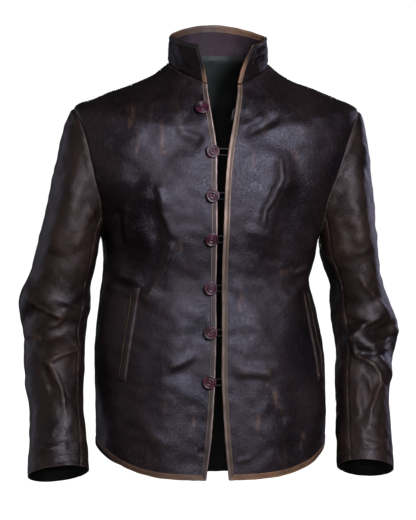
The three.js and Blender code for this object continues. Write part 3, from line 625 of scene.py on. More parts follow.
class BodyForm:
    """The body's surface, by ring position and angle: 0 in front and 90 at the left side."""

    levels = np.linspace(0, NECK, 3001)

    def raw(self, level: Array, angle: Array) -> tuple[Array, Array, Array]:
        """Surface points before the fine folds.

        Args:
            level: Ring positions from the hem, 0, to the neck seam.
            angle: Angles in degrees, of the same shape.

        Returns:
            The points, and the x and z at which folds are looked up.
        """
        turn = np.radians(angle)
        sine, cosine = np.sin(turn), np.cos(turn)
        in_front = cosine > 0
        depth = np.where(
            in_front, -BODY_RINGS.smooth("front_y", level), BODY_RINGS.smooth("back_y", level)
        )
        power = BODY_RINGS.smooth("square", level)
        across = np.abs(sine / BODY_RINGS.smooth("half_width", level)) ** power
        radius = (across + np.abs(cosine / depth) ** power) ** (-1 / power)
        rise = lerp(hem_rise(cosine), side_rise(cosine), smoothstep(level, 1, 4))
        x = radius * sine + BODY_RINGS.smooth("shift_x", level)
        middle_z = np.where(
            in_front, BODY_RINGS.smooth("front_z", level), BODY_RINGS.smooth("back_z", level)
        )
        z = lerp(BODY_RINGS.smooth("side_z", level), middle_z, rise)
        swell = face_relief(BODY_FOLDS, in_front, x, z) * smoothstep(np.abs(cosine), 0.02, 0.25)
        points = np.stack([x + swell * sine, -(radius + swell) * cosine, z], axis=-1)
        return settle(points), x, z

    def normal(self, level: Array, angle: Array) -> Array:
        """Unit normals that point out of the garment."""
        up = self.raw(level + 0.02, angle)[0] - self.raw(level - 0.02, angle)[0]
        round_ = self.raw(level, angle + 0.3)[0] - self.raw(level, angle - 0.3)[0]
        return unit(np.cross(round_, up))

    def surface(self, level: Array, angle: Array) -> tuple[Array, Array, Array]:
        """Surface points with the fine folds, their normals and the relief itself.

        Args:
            level: Ring positions.
            angle: Angles in degrees, of the same shape.

        Returns:
            Points, outward normals and the height of the fine folds, in millimetres.
        """
        level, angle = np.broadcast_arrays(np.asarray(level, float), np.asarray(angle, float))
        points, x, z = self.raw(level, angle)
        normals = self.normal(level, angle)
        cosine = np.cos(np.radians(angle))
        fine = face_relief(FINE_BODY_FOLDS, cosine > 0, x, z)
        fine = CRISPNESS * fine * smoothstep(np.abs(cosine), 0.05, 0.3)
        fine = fine + 0.55 * undulation(points, 62, 11) + 0.22 * undulation(points, 24, 12)
        return points + normals * fine[..., None], normals, fine

    def marks(self, level: Array, angle: Array) -> dict[str, Array]:
        """Strength of the listed rubbed places and of the patches of painted shade."""
        _, x, z = self.raw(level, angle)
        in_front = np.cos(np.radians(angle)) > 0
        tables = {"rub": RUBS, "burnish": PAINTED_SHADE_PATCHES}
        return {name: np.clip(face_relief(table, in_front, x, z), 0, 1) for name, table in tables.items()}

    def front_angle(self, level: Array, x: Array) -> Array:
        """Angle on the front of a ring at distance x from the centre plane."""
        shift = BODY_RINGS.smooth("shift_x", level)
        return np.degrees(np.arctan2(x - shift, -BODY_RINGS.smooth("front_y", level)))

    def opening_x(self, level: Array, side: Side) -> Array:
        """Distance of a front edge from the centre plane."""
        height = BODY_RINGS.smooth("front_z", level)
        return OPENING.between("z", side.label, height, ease=14.0)

    def seam_angle(self, level: Array, widest: float) -> Array:
        """Angle from the side plane to the seam: the armhole's edge, or half a seam gap."""
        level = np.asarray(level, float)
        t = np.clip((level - UNDERARM) / (SHOULDER_TIP - UNDERARM), 0, 1)
        gap = np.degrees(SEAM_GAP / 2 / BODY_RINGS.smooth("half_width", level))
        return np.maximum(gap, widest * 2 * np.sqrt(t * (1 - t)))

    def armhole_level(self, column: Array) -> Array:
        """Ring position of the armhole's edge beside a sleeve column."""
        t = (1 - np.cos(2 * math.pi * np.asarray(column, float) / SLEEVE_COLUMNS)) / 2
        return lerp(UNDERARM, SHOULDER_TIP, t)

    def level_at_front(self, z: float) -> float:
        """Ring position where the centre front has a given height."""
        return float(np.interp(z, BODY_RINGS.smooth("front_z", self.levels), self.levels))

    def front_levels(self, steps: int) -> Array:
        """Ring positions from the hem to the neck seam at even heights of the front."""
        heights = BODY_RINGS.smooth("front_z", self.levels) + BODY_RINGS.smooth("side_z", self.levels)
        return np.interp(np.linspace(heights[0], heights[-1], steps), heights, self.levels)

    def front_cells(self, x: Array, z: Array) -> Cells:
        """Ring positions and angles of the front surface at given x and z."""
        level = np.interp(z, BODY_RINGS.smooth("front_z", self.levels), self.levels)
        angle = self.front_angle(level, x)
        for _ in range(14):
            here = self.raw(level, angle)[0]
            to_x = (self.raw(level, angle + 0.5)[0] - here) / 0.5
            to_z = (self.raw(level + 0.05, angle)[0] - here) / 0.05
            dx, dz = x - here[..., 0], z - here[..., 2]
            det = to_x[..., 0] * to_z[..., 2] - to_z[..., 0] * to_x[..., 2]
            angle = angle + np.clip((dx * to_z[..., 2] - dz * to_z[..., 0]) / det, -15, 15)
            level = level + np.clip((to_x[..., 0] * dz - to_x[..., 2] * dx) / det, -1, 1)
            level = np.clip(level, 0, NECK)
        return level, angle


BODY = BodyForm()


@dataclass(frozen=True)
class SleeveForm:
    """One sleeve's surface, by share of its length and column round it."""

    side: Side

    def centre(self, position: Array) -> Array:
        """Centre of the arm at a section position."""
        table = SLEEVE_SECTIONS[self.side]
        x = self.side.value * table.smooth("x", position)
        return np.stack([x, table.smooth("y", position), table.smooth("z", position)], axis=-1)

    def arm(self, position: Array, column: Array) -> Array:
        """Points below the sleeve head, before the garment settles.

        Args:
            position: Section positions.
            column: Columns round the sleeve, of the same shape.

        Returns:
            The points.
        """
        table = SLEEVE_SECTIONS[self.side]
        sign = self.side.value
        last = len(table.rows) - 1
        centre = self.centre(position)
        ahead = self.centre(np.minimum(position + 0.3, last))
        down = unit(ahead - self.centre(np.maximum(position - 0.3, 0)))
        outward = -down * down[..., :1] * sign
        outward[..., 0] += sign
        outward = unit(outward)
        turn = np.radians(table.smooth("turn", position) * sign)
        sine, cosine = np.sin(turn), np.cos(turn)
        x, y, z = outward[..., 0], outward[..., 1], outward[..., 2]
        outward = np.stack([x * cosine + z * sine, y, z * cosine - x * sine], axis=-1)
        forward = unit(np.cross(outward, down) * -sign)
        angle = 2 * math.pi * column / SLEEVE_COLUMNS
        swell = self.fold_height(SLEEVE_FOLDS[self.side], column, centre[..., 2])
        across = -np.cos(angle) * (table.smooth("half_width", position) + swell)
        through = np.sin(angle) * (table.smooth("half_depth", position) + swell)
        return centre + outward * across[..., None] + forward * through[..., None]

    def fold_height(self, folds: Sequence[Fold], column: Array, z: Array) -> Array:
        """Height of folds at a column and height, counted round from the seam at column 0."""
        return relief_sum(folds, (column % SLEEVE_COLUMNS) * COLUMN_ARC, z)

    def armhole(self, column: Array) -> Cells:
        """Points of the armhole's edge beside columns, and the body's normals there."""
        level, angle = self.armhole_cells(column)
        return BODY.raw(level, angle)[0], BODY.normal(level, angle)

    def armhole_cells(self, column: Array) -> Cells:
        """Ring positions and angles of the armhole's edge beside columns."""
        in_front = column <= SLEEVE_COLUMNS / 2
        level = BODY.armhole_level(column)
        offset = np.where(
            in_front, BODY.seam_angle(level, ARMHOLE_FRONT), BODY.seam_angle(level, ARMHOLE_BACK)
        )
        return level, self.side.value * np.where(in_front, 90 - offset, 90 + offset)

    def head(self, share: Array, column: Array) -> Array:
        """Points of the sleeve head, on curves from the armhole to the first section."""
        sign = self.side.value
        wrapped = column % SLEEVE_COLUMNS
        height = (1 - np.cos(2 * math.pi * wrapped / SLEEVE_COLUMNS)) / 2
        start, normal = self.armhole(wrapped)
        ahead = self.armhole(np.minimum(wrapped + 0.25, SLEEVE_COLUMNS))[0]
        behind = self.armhole(np.maximum(wrapped - 0.25, 0))[0]
        across = unit(np.cross(ahead - behind, normal)) * sign
        start = start + across * ARMHOLE_GAP
        leave = unit(across * 0.35 + np.array([sign, 0, -0.25]))
        end = settle(self.arm(np.zeros_like(wrapped), wrapped))
        arrive = unit(settle(self.arm(np.full_like(wrapped, 0.1), wrapped)) - end)
        span = np.linalg.norm(start - end, axis=-1, keepdims=True)
        tall = height[..., None]
        first = start + leave * lerp(6, 21, tall)
        second = end - arrive * span * lerp(0.4, 0.46, tall)
        t = share[..., None]
        point = (
            start * (1 - t) ** 3
            + first * 3 * t * (1 - t) ** 2
            + second * 3 * t**2 * (1 - t)
            + end * t**3
        )
        fade = smoothstep(share, 0.2, 0.6) * smoothstep(1 - share, 0, 0.05)
        swell = self.fold_height(SLEEVE_FOLDS[self.side], wrapped, point[..., 2]) * fade
        away = point - settle(self.centre(np.zeros(1)))[0]
        away[..., 2] = 0
        return point + unit(away) * swell[..., None]

    def raw(self, share: Array, column: Array) -> Array:
        """Points of the whole sleeve: 0 to 1 is the head, and 1 to 2 runs on to the cuff."""
        last = len(SLEEVE_SECTIONS[self.side].rows) - 1
        below = settle(self.arm(np.maximum(share - 1, 0) * last, column))
        return np.where((share < 1)[..., None], self.head(np.clip(share, 0, 1), column), below)

    def surface(self, share: Array, column: Array) -> tuple[Array, Array, Array]:
        """Points with the fine folds, outward normals and the fine relief."""
        share, column = np.broadcast_arrays(np.asarray(share, float), np.asarray(column, float))
        points = self.raw(share, column)
        high = np.minimum(share + 0.004, 2.0)
        low = np.maximum(share - 0.004, 0.0)
        along = self.raw(high, column) - self.raw(low, column)
        round_ = self.raw(share, column + 0.05) - self.raw(share, column - 0.05)
        normals = unit(np.cross(along, round_)) * self.side.value
        fine = self.fold_height(FINE_SLEEVE_FOLDS[self.side], column, points[..., 2])
        fine = CRISPNESS * fine * smoothstep(share, 0.1, 0.5)
        fine = fine + 0.5 * undulation(points, 48, 21) + 0.25 * undulation(points, 20, 22)
        _, edge_normals, edge_fine = BODY.surface(*self.armhole_cells(column % SLEEVE_COLUMNS))
        own = smoothstep(share, 0.0, 0.14)[..., None]
        moved = lerp(edge_normals * edge_fine[..., None], normals * fine[..., None], own)
        return points + moved, normals, fine


class CollarForm:
    """The collar's surface, by rise from the neck seam and degrees round the neck."""

    turn_out = 9.0
    turn_width = 16.0
    bulge = 1.5

    def raw(self, rise: Array, seam: Array) -> Array:
        """Points of the collar.

        Args:
            rise: Share of the height, 0 at the neck seam.
            seam: Degrees round the neck from the centre front by the left side.

        Returns:
            The points.
        """
        ring = {name: BODY_RINGS.column(name)[NECK] for name in BODY_RINGS.columns}
        right = seam > 180
        sign = np.where(right, -1.0, 1.0)
        from_front = np.where(right, 360 - seam, seam)
        held = np.clip(rise, 0, 1)
        at_end, start = (
            np.where(right, *(self.end_angle(share, label, ring["front_y"]) for label in ("right", "left")))
            for share in (held, 0.0 * held)
        )
        stretched = 90 - (90 - from_front) * (90 - at_end) / (90 - start)
        angle = np.where(from_front < 90, stretched, from_front)
        sine, cosine = np.sin(np.radians(angle)), np.cos(np.radians(angle))
        mix = {name: lerp(ring[name], COLLAR_TOP[name], rise) for name in COLLAR_TOP}
        depth = np.where(cosine > 0, -mix["front_y"], mix["back_y"])
        radius = 1 / np.hypot(sine / mix["half_width"], cosine / depth)
        left_end = self.end_angle(1.0 + 0.0 * held, "left", ring["front_y"])
        beside = np.exp(-(((angle - left_end) / self.turn_width) ** 2))
        corner = np.where(right, 0.0, self.turn_out * held**2 * beside)
        swell = self.bulge * np.sin(math.pi * held) + corner
        middle = np.where(cosine > 0, mix["front_z"], mix["back_z"])
        z = lerp(mix["side_z"], middle, side_rise(cosine))
        points = np.stack(
            [sign * (radius + swell) * sine, -(radius + swell) * cosine, z], axis=-1
        )
        return settle(points)

    def end_angle(self, rise: Array, label: str, front_y: float) -> Array:
        """Angle of the collar's front end at a rise."""
        distance = np.abs(COLLAR_ENDS.between("rise", label, rise, ease=0.06))
        return np.degrees(np.arctan2(distance, lerp(-front_y, -COLLAR_TOP["front_y"], rise)))

    def surface(self, rise: Array, seam: Array) -> tuple[Array, Array, Array]:
        """Points with the fine folds, outward normals and the fine relief."""
        rise, seam = np.broadcast_arrays(np.asarray(rise, float), np.asarray(seam, float))
        points = self.raw(rise, seam)
        up = self.raw(rise + 0.02, seam) - self.raw(rise - 0.02, seam)
        round_ = self.raw(rise, seam + 0.3) - self.raw(rise, seam - 0.3)
        normals = unit(np.cross(round_, up))
        fine = relief_sum(COLLAR_FOLDS, seam * COLLAR_MM_PER_DEGREE, rise * COLLAR_HEIGHT)
        fine = fine * smoothstep(rise, 0.0, 0.2) + 0.4 * undulation(points, 34, 31)
        return points + normals * fine[..., None], normals, fine

    @property
    def ends(self) -> tuple[float, float]:
        """Degrees round the neck of the left and of the right end."""
        neck = float(NECK)
        left = BODY.front_angle(neck, BODY.opening_x(neck, Side.LEFT))
        right = 360 + BODY.front_angle(neck, BODY.opening_x(neck, Side.RIGHT))
        return float(left), float(right)


COLLAR = CollarForm()

# ---------------------------------------------------------------- seams


@dataclass(frozen=True)
class SeamLine:
    """A sewn line, near which the leather rolls down and puckers."""

    points: Array
    depth: float = 1.0
    pucker: float = 0.3

    def distance(self, points: Array) -> Cells:
        """Distance to the line and length along it to the nearest spot.

        Args:
            points: Points in millimetres, with x, y and z in the last axis.

        Returns:
            Distances and lengths along, each of the points' shape.
        """
        run = np.concatenate([[0.0], np.cumsum(np.linalg.norm(np.diff(self.points, axis=0), axis=-1))])
        at = np.arange(0.0, run[-1], 0.7)
        dense = np.stack([np.interp(at, run, self.points[:, k]) for k in range(3)], axis=-1)
        tree = KDTree(len(dense))
        for index, point in enumerate(dense):
            tree.insert(point, index)
        tree.balance()
        found = [tree.find(point)[1:] for point in points.reshape(-1, 3)]
        index, away = np.array(found).T
        return away.reshape(points.shape[:-1]), at[index.astype(int)].reshape(points.shape[:-1])

    def roll(self, points: Array) -> Cells:
        """Height change of the leather beside the line, and the distance to it."""
        distance, along = self.distance(points)
        dip = -self.depth * np.exp(-((distance / 2.4) ** 2))
        puff = 0.45 * self.depth * np.exp(-(((distance - 6.5) / 3.6) ** 2))
        wave = np.sin(along / 2.9 + 1.7 * np.sin(along / 23.0)) * np.sin(along / 41.0 + 0.8)
        pucker = self.pucker * wave * np.exp(-distance / 7.0) * smoothstep(distance, 0.5, 3.0)
        return dip + puff + pucker, distance


def side_seam(side: Side, face: Face) -> SeamLine:
    """The line where a front or the back meets its neighbours at the side and shoulder."""
    side_part = np.linspace(0, UNDERARM, 60)
    armhole = BODY.armhole_level(np.linspace(0, SLEEVE_COLUMNS / 2, 80))
    shoulder = np.linspace(SHOULDER_TIP, NECK, 50)
    level = np.concatenate([side_part, armhole[1:], shoulder[1:]])
    widest = ARMHOLE_FRONT if face is FRONT else ARMHOLE_BACK
    offset = BODY.seam_angle(level, widest)
    angle = side.value * (90 - offset if face is FRONT else 90 + offset)
    return SeamLine(BODY.raw(level, angle)[0])


def neck_seam() -> SeamLine:
    """The line where the body meets the collar."""
    angle = np.linspace(*COLLAR.ends, 160)
    angle = np.where(angle > 180, angle - 360, angle)
    return SeamLine(BODY.raw(np.full(160, float(NECK)), angle)[0], depth=1.1)


# ---------------------------------------------------------------- meshes


@dataclass
class MeshData:
    """Points, faces and what is known at each point, ready to become one mesh."""

    points: Array
    faces: Array
    slots: Array | None = None
    values: dict[str, Array] = field(default_factory=dict)
    cloth: Array | None = None

    def build(self, name: str, materials: Sequence[bpy.types.Material]) -> Piece:
        """Makes a smooth-shaded Blender object of it.

        Args:
            name: The object's name.
            materials: Its materials, in the order of the faces' slots.

        Returns:
            The object, linked to the scene.
        """
        mesh = bpy.data.meshes.new(name)
        corners = self.faces.shape[1]
        mesh.vertices.add(len(self.points))
        mesh.vertices.foreach_set("co", (self.points * MM).astype(np.float32).ravel())
        mesh.loops.add(self.faces.size)
        mesh.loops.foreach_set("vertex_index", self.faces.astype(np.int32).ravel())
        mesh.polygons.add(len(self.faces))
        mesh.polygons.foreach_set("loop_start", np.arange(0, self.faces.size, corners, dtype=np.int32))
        if self.slots is not None:
            mesh.polygons.foreach_set("material_index", self.slots.astype(np.int32))
        for material in materials:
            mesh.materials.append(material)
        mesh.update(calc_edges=True)
        mesh.validate()
        for label, value in self.values.items():
            layer = mesh.attributes.new(label, "FLOAT", "POINT")
            layer.data.foreach_set("value", value.astype(np.float32).ravel())
        if self.cloth is not None:
            layer = mesh.uv_layers.new(name="cloth")
            layer.data.foreach_set("uv", self.cloth[self.faces.ravel()].astype(np.float32).ravel())
        mesh.polygons.foreach_set("use_smooth", np.ones(len(mesh.polygons), bool))
        mesh.set_sharp_from_angle(angle=math.radians(50))
        obj = bpy.data.objects.new(name, mesh)
        bpy.context.scene.collection.objects.link(obj)
        return obj


def grid_faces(rows: int, columns: int, start: int = 0, closed: bool = False) -> Array:
    """Quads over a grid of points.

    Args:
        rows: Rows of points.
        columns: Points in a row.
        start: Index of the first point.
        closed: Whether each row closes on itself.

    Returns:
        An array of four point indices a face.
    """
    i, j = np.meshgrid(np.arange(rows - 1), np.arange(columns if closed else columns - 1), indexing="ij")
    after = (j + 1) % columns
    quads = [i * columns + j, i * columns + after, (i + 1) * columns + after, (i + 1) * columns + j]
    return np.stack([q.ravel() for q in quads], axis=-1) + start


def shell(points: Array, normals: Array, wall: float, values: dict[str, Array], cloth: Array) -> MeshData:
    """A closed wall under a grid of outer points, with slot 1 on its inner side.

    Args:
        points: Outer points, rows by columns by 3.
        normals: Outward normals there.
        wall: Thickness in millimetres.
        values: Named values at the outer points.
        cloth: Position on the flat leather at the outer points, in metres.

    Returns:
        The wall's mesh data.
    """
    rows, columns = points.shape[:2]
    inner = points - normals * wall
    count = rows * columns
    outer_faces = grid_faces(rows, columns)
    inner_faces = grid_faces(rows, columns, count)[:, ::-1]
    index = np.arange(count).reshape(rows, columns)
    border = np.concatenate([index[0, :-1], index[:-1, -1], index[-1, :0:-1], index[:0:-1, 0]])
    following = np.roll(border, -1)
    rim = np.stack([following, border, border + count, following + count], axis=-1)
    faces = np.concatenate([outer_faces, inner_faces, rim])
    centre = points.reshape(-1, 3)[outer_faces[0]]
    facing = np.cross(centre[1] - centre[0], centre[2] - centre[0]) @ normals.reshape(-1, 3)[0]
    if facing < 0:
        faces = faces[:, ::-1]
    slots = np.concatenate([np.zeros(len(outer_faces)), np.ones(len(inner_faces)), np.zeros(len(rim))])
    doubled = {name: np.concatenate([v.ravel(), v.ravel()]) for name, v in values.items()}
    return MeshData(
        np.concatenate([points.reshape(-1, 3), inner.reshape(-1, 3)]),
        faces,
        slots,
        doubled,
        np.concatenate([cloth.reshape(-1, 2)] * 2),
    )


def sweep(rings: Array, capped: bool = True) -> Cells:
    """Points and faces of closed rings joined in a row, with fans of quads at the ends.

    Args:
        rings: Ring points, rings by points by 3.
        capped: Whether the first and last ring are filled.

    Returns:
        Points and four point indices a face.
    """
    count, around_ = rings.shape[:2]
    points = rings.reshape(-1, 3)
    faces = [grid_faces(count, around_, closed=True)]
    if capped:
        half = around_ // 2
        for base, flip in ((0, False), ((count - 1) * around_, True)):
            strip = np.array([[k, k + 1, around_ - 2 - k, around_ - 1 - k] for k in range(half - 1)]) + base
            faces.append(strip if flip else strip[:, ::-1])
    return points, np.concatenate(faces)


def outward(points: Array, faces: Array) -> Array:
    """Faces turned so that they point out of a closed body."""
    a, b, c, d = (points[faces[:, k]] for k in range(4))
    volume = np.einsum("ij,ij->", a, np.cross(b, c) + np.cross(c, d))
    return faces if volume > 0 else faces[:, ::-1]


def joined(parts: Sequence[MeshData]) -> MeshData:
    """Several pieces of mesh data as one."""
    offsets = np.cumsum([0] + [len(p.points) for p in parts[:-1]])
    faces = np.concatenate([p.faces + o for p, o in zip(parts, offsets)])
    values = {name: np.concatenate([p.values[name] for p in parts]) for name in parts[0].values}
    cloth = None if parts[0].cloth is None else np.concatenate([p.cloth for p in parts])
    return MeshData(np.concatenate([p.points for p in parts]), faces, None, values, cloth)


def dress(obj: Piece, slot: str, *nodes: str) -> Piece:
    """Rides a piece on the body and hides the solids that it stands for."""
    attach(obj, "root")
    if nodes:
        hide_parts(*nodes)
    log.info("%s: %d faces", obj.name, len(obj.data.polygons))
    return obj


# ---------------------------------------------------------------- node groups and finishes


def linear(red: int, green: int, blue: int) -> tuple[float, float, float, float]:
    """A colour given as on a screen, 0 to 255, in scene values."""
    def channel(value: int) -> float:
        """One channel."""
        share = value / 255
        return share / 12.92 if share <= 0.04045 else ((share + 0.055) / 1.055) ** 2.4

    return channel(red), channel(green), channel(blue), 1.0


class NodeTree:
    """Short calls that add and join nodes."""

    def __init__(self, tree: bpy.types.NodeTree) -> None:
        """Keeps the tree that the calls work on."""
        self.tree = tree

    def add(self, kind: str, inputs: dict[str, object] | None = None, **settings: object) -> bpy.types.Node:
        """Adds a node.

        Args:
            kind: The node's type, without its ShaderNode prefix.
            inputs: Values or output sockets for its named inputs.
            **settings: The node's own properties.

        Returns:
            The node.
        """
        node = self.tree.nodes.new("ShaderNode" + kind)
        for name, value in settings.items():
            setattr(node, name, value)
        for name, value in (inputs or {}).items():
            self.feed(node.inputs[name], value)
        return node

    def feed(self, socket: Socket, value: object) -> None:
        """Links an output socket to an input, or sets the input's value."""
        if isinstance(value, Socket):
            self.tree.links.new(value, socket)
        else:
            socket.default_value = value

    def math(self, operation: str, a: object, b: object = 0.0, clamp: bool = False) -> Socket:
        """A Math node's output."""
        node = self.add("Math", operation=operation, use_clamp=clamp)
        self.feed(node.inputs[0], a)
        self.feed(node.inputs[1], b)
        return node.outputs[0]

    def plus(self, a: object, b: object) -> Socket:
        """The sum of two values."""
        return self.math("ADD", a, b)

    def minus(self, a: object, b: object, clamp: bool = False) -> Socket:
        """The difference of two values."""
        return self.math("SUBTRACT", a, b, clamp)

    def times(self, a: object, b: object) -> Socket:
        """The product of two values."""
        return self.math("MULTIPLY", a, b)

    def ramp(
        self, value: object, low: float, high: float, to_low: float = 0.0, to_high: float = 1.0
    ) -> Socket:
        """A smooth map of one range of values to another."""
        inputs = {"Value": value, "From Min": low, "From Max": high, "To Min": to_low, "To Max": to_high}
        return self.add("MapRange", inputs, interpolation_type="SMOOTHSTEP").outputs[0]

    def blend(self, share: object, a: object, b: object, mode: str = "MIX") -> Socket:
        """A mix of two colours."""
        node = self.add("Mix", data_type="RGBA", blend_type=mode)
        for index, value in ((0, share), (6, a), (7, b)):
            self.feed(node.inputs[index], value)
        return node.outputs[2]

    def noise(self, vector: object, scale: float, detail: float = 3.0, roughness: float = 0.55) -> Socket:
        """A noise texture's value."""
        inputs = {"Vector": vector, "Scale": scale, "Detail": detail, "Roughness": roughness}
        return self.add("TexNoise", inputs).outputs[0]

    def attribute(self, name: str) -> Socket:
        """A value kept at the mesh's points."""
        return self.add("Attribute", attribute_name=name).outputs["Fac"]

    def place(self) -> Socket:
        """Position in the piece's own space."""
        return self.add("TexCoord").outputs["Object"]

    def hide(self) -> Socket:
        """Position on the flat leather or cloth."""
        return self.add("UVMap", uv_map="cloth").outputs[0]

    def group(self, tree: bpy.types.NodeTree, inputs: dict[str, object]) -> bpy.types.NodeOutputs:
        """The outputs of a shared effect, placed with its own values."""
        return self.add("Group", inputs, node_tree=tree).outputs

    def bump(self, shader: bpy.types.Node, strength: float, depth: float, height: object) -> None:
        """Raises a shader's surface by a height of so many millimetres."""
        node = self.add("Bump", {"Strength": strength, "Distance": depth * MM, "Height": height})
        self.feed(shader.inputs["Normal"], node.outputs[0])

    def stretched(self, vector: object, scale: Colour) -> Socket:
        """A vector with its axes scaled."""
        return self.add("Mapping", {"Vector": vector, "Scale": scale}).outputs[0]


def node_group(
    name: str, inputs: dict[str, tuple[str, float]], outputs: dict[str, str]
) -> tuple[bpy.types.NodeTree, NodeTree, bpy.types.Node, bpy.types.Node]:
    """Makes an empty shader node group with named sockets.

    Args:
        name: The group's name.
        inputs: Socket type, Float or Vector, and default by name.
        outputs: Socket type by name.

    Returns:
        The group, short calls for it, and its input and output nodes.
    """
    group = bpy.data.node_groups.new(name, "ShaderNodeTree")
    for label, (kind, default) in inputs.items():
        socket = group.interface.new_socket(label, in_out="INPUT", socket_type="NodeSocket" + kind)
        if kind == "Float":
            socket.default_value = default
    for label, kind in outputs.items():
        group.interface.new_socket(label, in_out="OUTPUT", socket_type="NodeSocket" + kind)
    return group, NodeTree(group), group.nodes.new("NodeGroupInput"), group.nodes.new("NodeGroupOutput")


class Effects:
    """The shared surface effects, each a node group that is built once."""

    def __init__(self) -> None:
        """Builds every group."""
        self.grain = self.build_grain()
        self.mottle = self.build_mottle()
        self.rub = self.build_rub()
        self.weave = self.build_weave()

    def build_grain(self) -> bpy.types.NodeTree:
        """Hide grain: small rounded cells, pores and fine long wrinkles."""
        group, nodes, start, end = node_group(
            "hide_grain",
            {"Vector": ("Vector", 0.0), "Cells": ("Float", 620.0), "Wrinkles": ("Float", 0.5)},
            {"Height": "Float", "Pores": "Float"},
        )
        warp = nodes.add("TexNoise", {"Vector": start.outputs["Vector"], "Scale": 170.0, "Detail": 2.0})
        mix = {"Fac": 0.012, "Color1": start.outputs["Vector"], "Color2": warp.outputs[1]}
        bent = nodes.add("MixRGB", mix).outputs[0]
        spread = {"Vector": bent, "Scale": start.outputs["Cells"]}
        cells = nodes.add("TexVoronoi", spread, feature="DISTANCE_TO_EDGE")
        rounded = nodes.ramp(cells.outputs["Distance"], 0.0, 0.32)
        pebble = nodes.noise(start.outputs["Vector"], 260.0, 4.0, 0.6)
        lines = nodes.noise(start.outputs["Vector"], 95.0, 3.0, 0.5)
        ridge = nodes.math("ABSOLUTE", nodes.minus(lines, 0.5))
        wrinkle = nodes.times(nodes.ramp(ridge, 0.0, 0.05), start.outputs["Wrinkles"])
        height = nodes.plus(nodes.times(rounded, 0.35), nodes.times(pebble, 0.45))
        nodes.feed(end.inputs["Height"], nodes.plus(height, wrinkle))
        nodes.feed(end.inputs["Pores"], nodes.minus(1.0, rounded))
        return group

    def build_mottle(self) -> bpy.types.NodeTree:
        """Uneven dye: soft clouds, and long rubbed streaks down the hide."""
        group, nodes, start, end = node_group(
            "dye_mottle",
            {"Vector": ("Vector", 0.0), "Hide": ("Vector", 0.0), "Cloud Size": ("Float", 9.0)},
            {"Clouds": "Float", "Streaks": "Float", "Specks": "Float"},
        )
        clouds = nodes.noise(start.outputs["Vector"], 9.0, 4.0, 0.6)
        nodes.feed(clouds.node.inputs["Scale"], start.outputs["Cloud Size"])
        narrow = nodes.stretched(start.outputs["Hide"], (1.0, 0.16, 1.0))
        streaks = nodes.noise(narrow, 24.0, 5.0, 0.62)
        patches = nodes.noise(start.outputs["Hide"], 7.0, 2.0, 0.5)
        worn = nodes.times(nodes.ramp(streaks, 0.56, 0.72), nodes.ramp(patches, 0.5, 0.68))
        specks = nodes.noise(nodes.stretched(start.outputs["Hide"], (1.0, 0.4, 1.0)), 210.0, 4.0, 0.7)
        nodes.feed(end.inputs["Clouds"], nodes.ramp(clouds, 0.3, 0.7))
        nodes.feed(end.inputs["Streaks"], worn)
        nodes.feed(end.inputs["Specks"], nodes.ramp(specks, 0.5, 0.72))
        return group

    def build_rub(self) -> bpy.types.NodeTree:
        """Wear: a ragged mask beside edges and along the crests of folds."""
        group, nodes, start, end = node_group(
            "edge_rub",
            {
                "Vector": ("Vector", 0.0),
                "Edge": ("Float", 50.0),
                "Relief": ("Float", 0.0),
                "Reach": ("Float", 3.0),
                "Crest": ("Float", 2.5),
            },
            {"Edge Mask": "Float", "Crest Mask": "Float"},
        )
        ragged = nodes.noise(start.outputs["Vector"], 85.0, 5.0, 0.65)
        shifted = nodes.plus(start.outputs["Edge"], nodes.times(nodes.minus(ragged, 0.5), 5.0))
        near = nodes.math("DIVIDE", shifted, start.outputs["Reach"])
        nodes.feed(end.inputs["Edge Mask"], nodes.ramp(near, 1.0, 0.0))
        high = nodes.math("DIVIDE", start.outputs["Relief"], start.outputs["Crest"])
        scattered = nodes.times(nodes.ramp(high, 0.45, 1.2), nodes.ramp(ragged, 0.38, 0.62))
        nodes.feed(end.inputs["Crest Mask"], scattered)
        return group

    def build_weave(self) -> bpy.types.NodeTree:
        """Plain weave: warp and weft threads with a soft change of tone."""
        group, nodes, start, end = node_group(
            "plain_weave",
            {"Hide": ("Vector", 0.0), "Threads": ("Float", 1900.0)},
            {"Height": "Float", "Tone": "Float"},
        )
        axes = nodes.add("SeparateXYZ", {"Vector": start.outputs["Hide"]})
        warp = nodes.math("SINE", nodes.times(axes.outputs[0], start.outputs["Threads"]))
        weft = nodes.math("SINE", nodes.times(axes.outputs[1], start.outputs["Threads"]))
        nodes.feed(end.inputs["Height"], nodes.math("MULTIPLY_ADD", nodes.times(warp, weft), 0.5))
        nodes.feed(end.inputs["Tone"], nodes.noise(start.outputs["Hide"], 14.0, 4.0, 0.6))
        return group


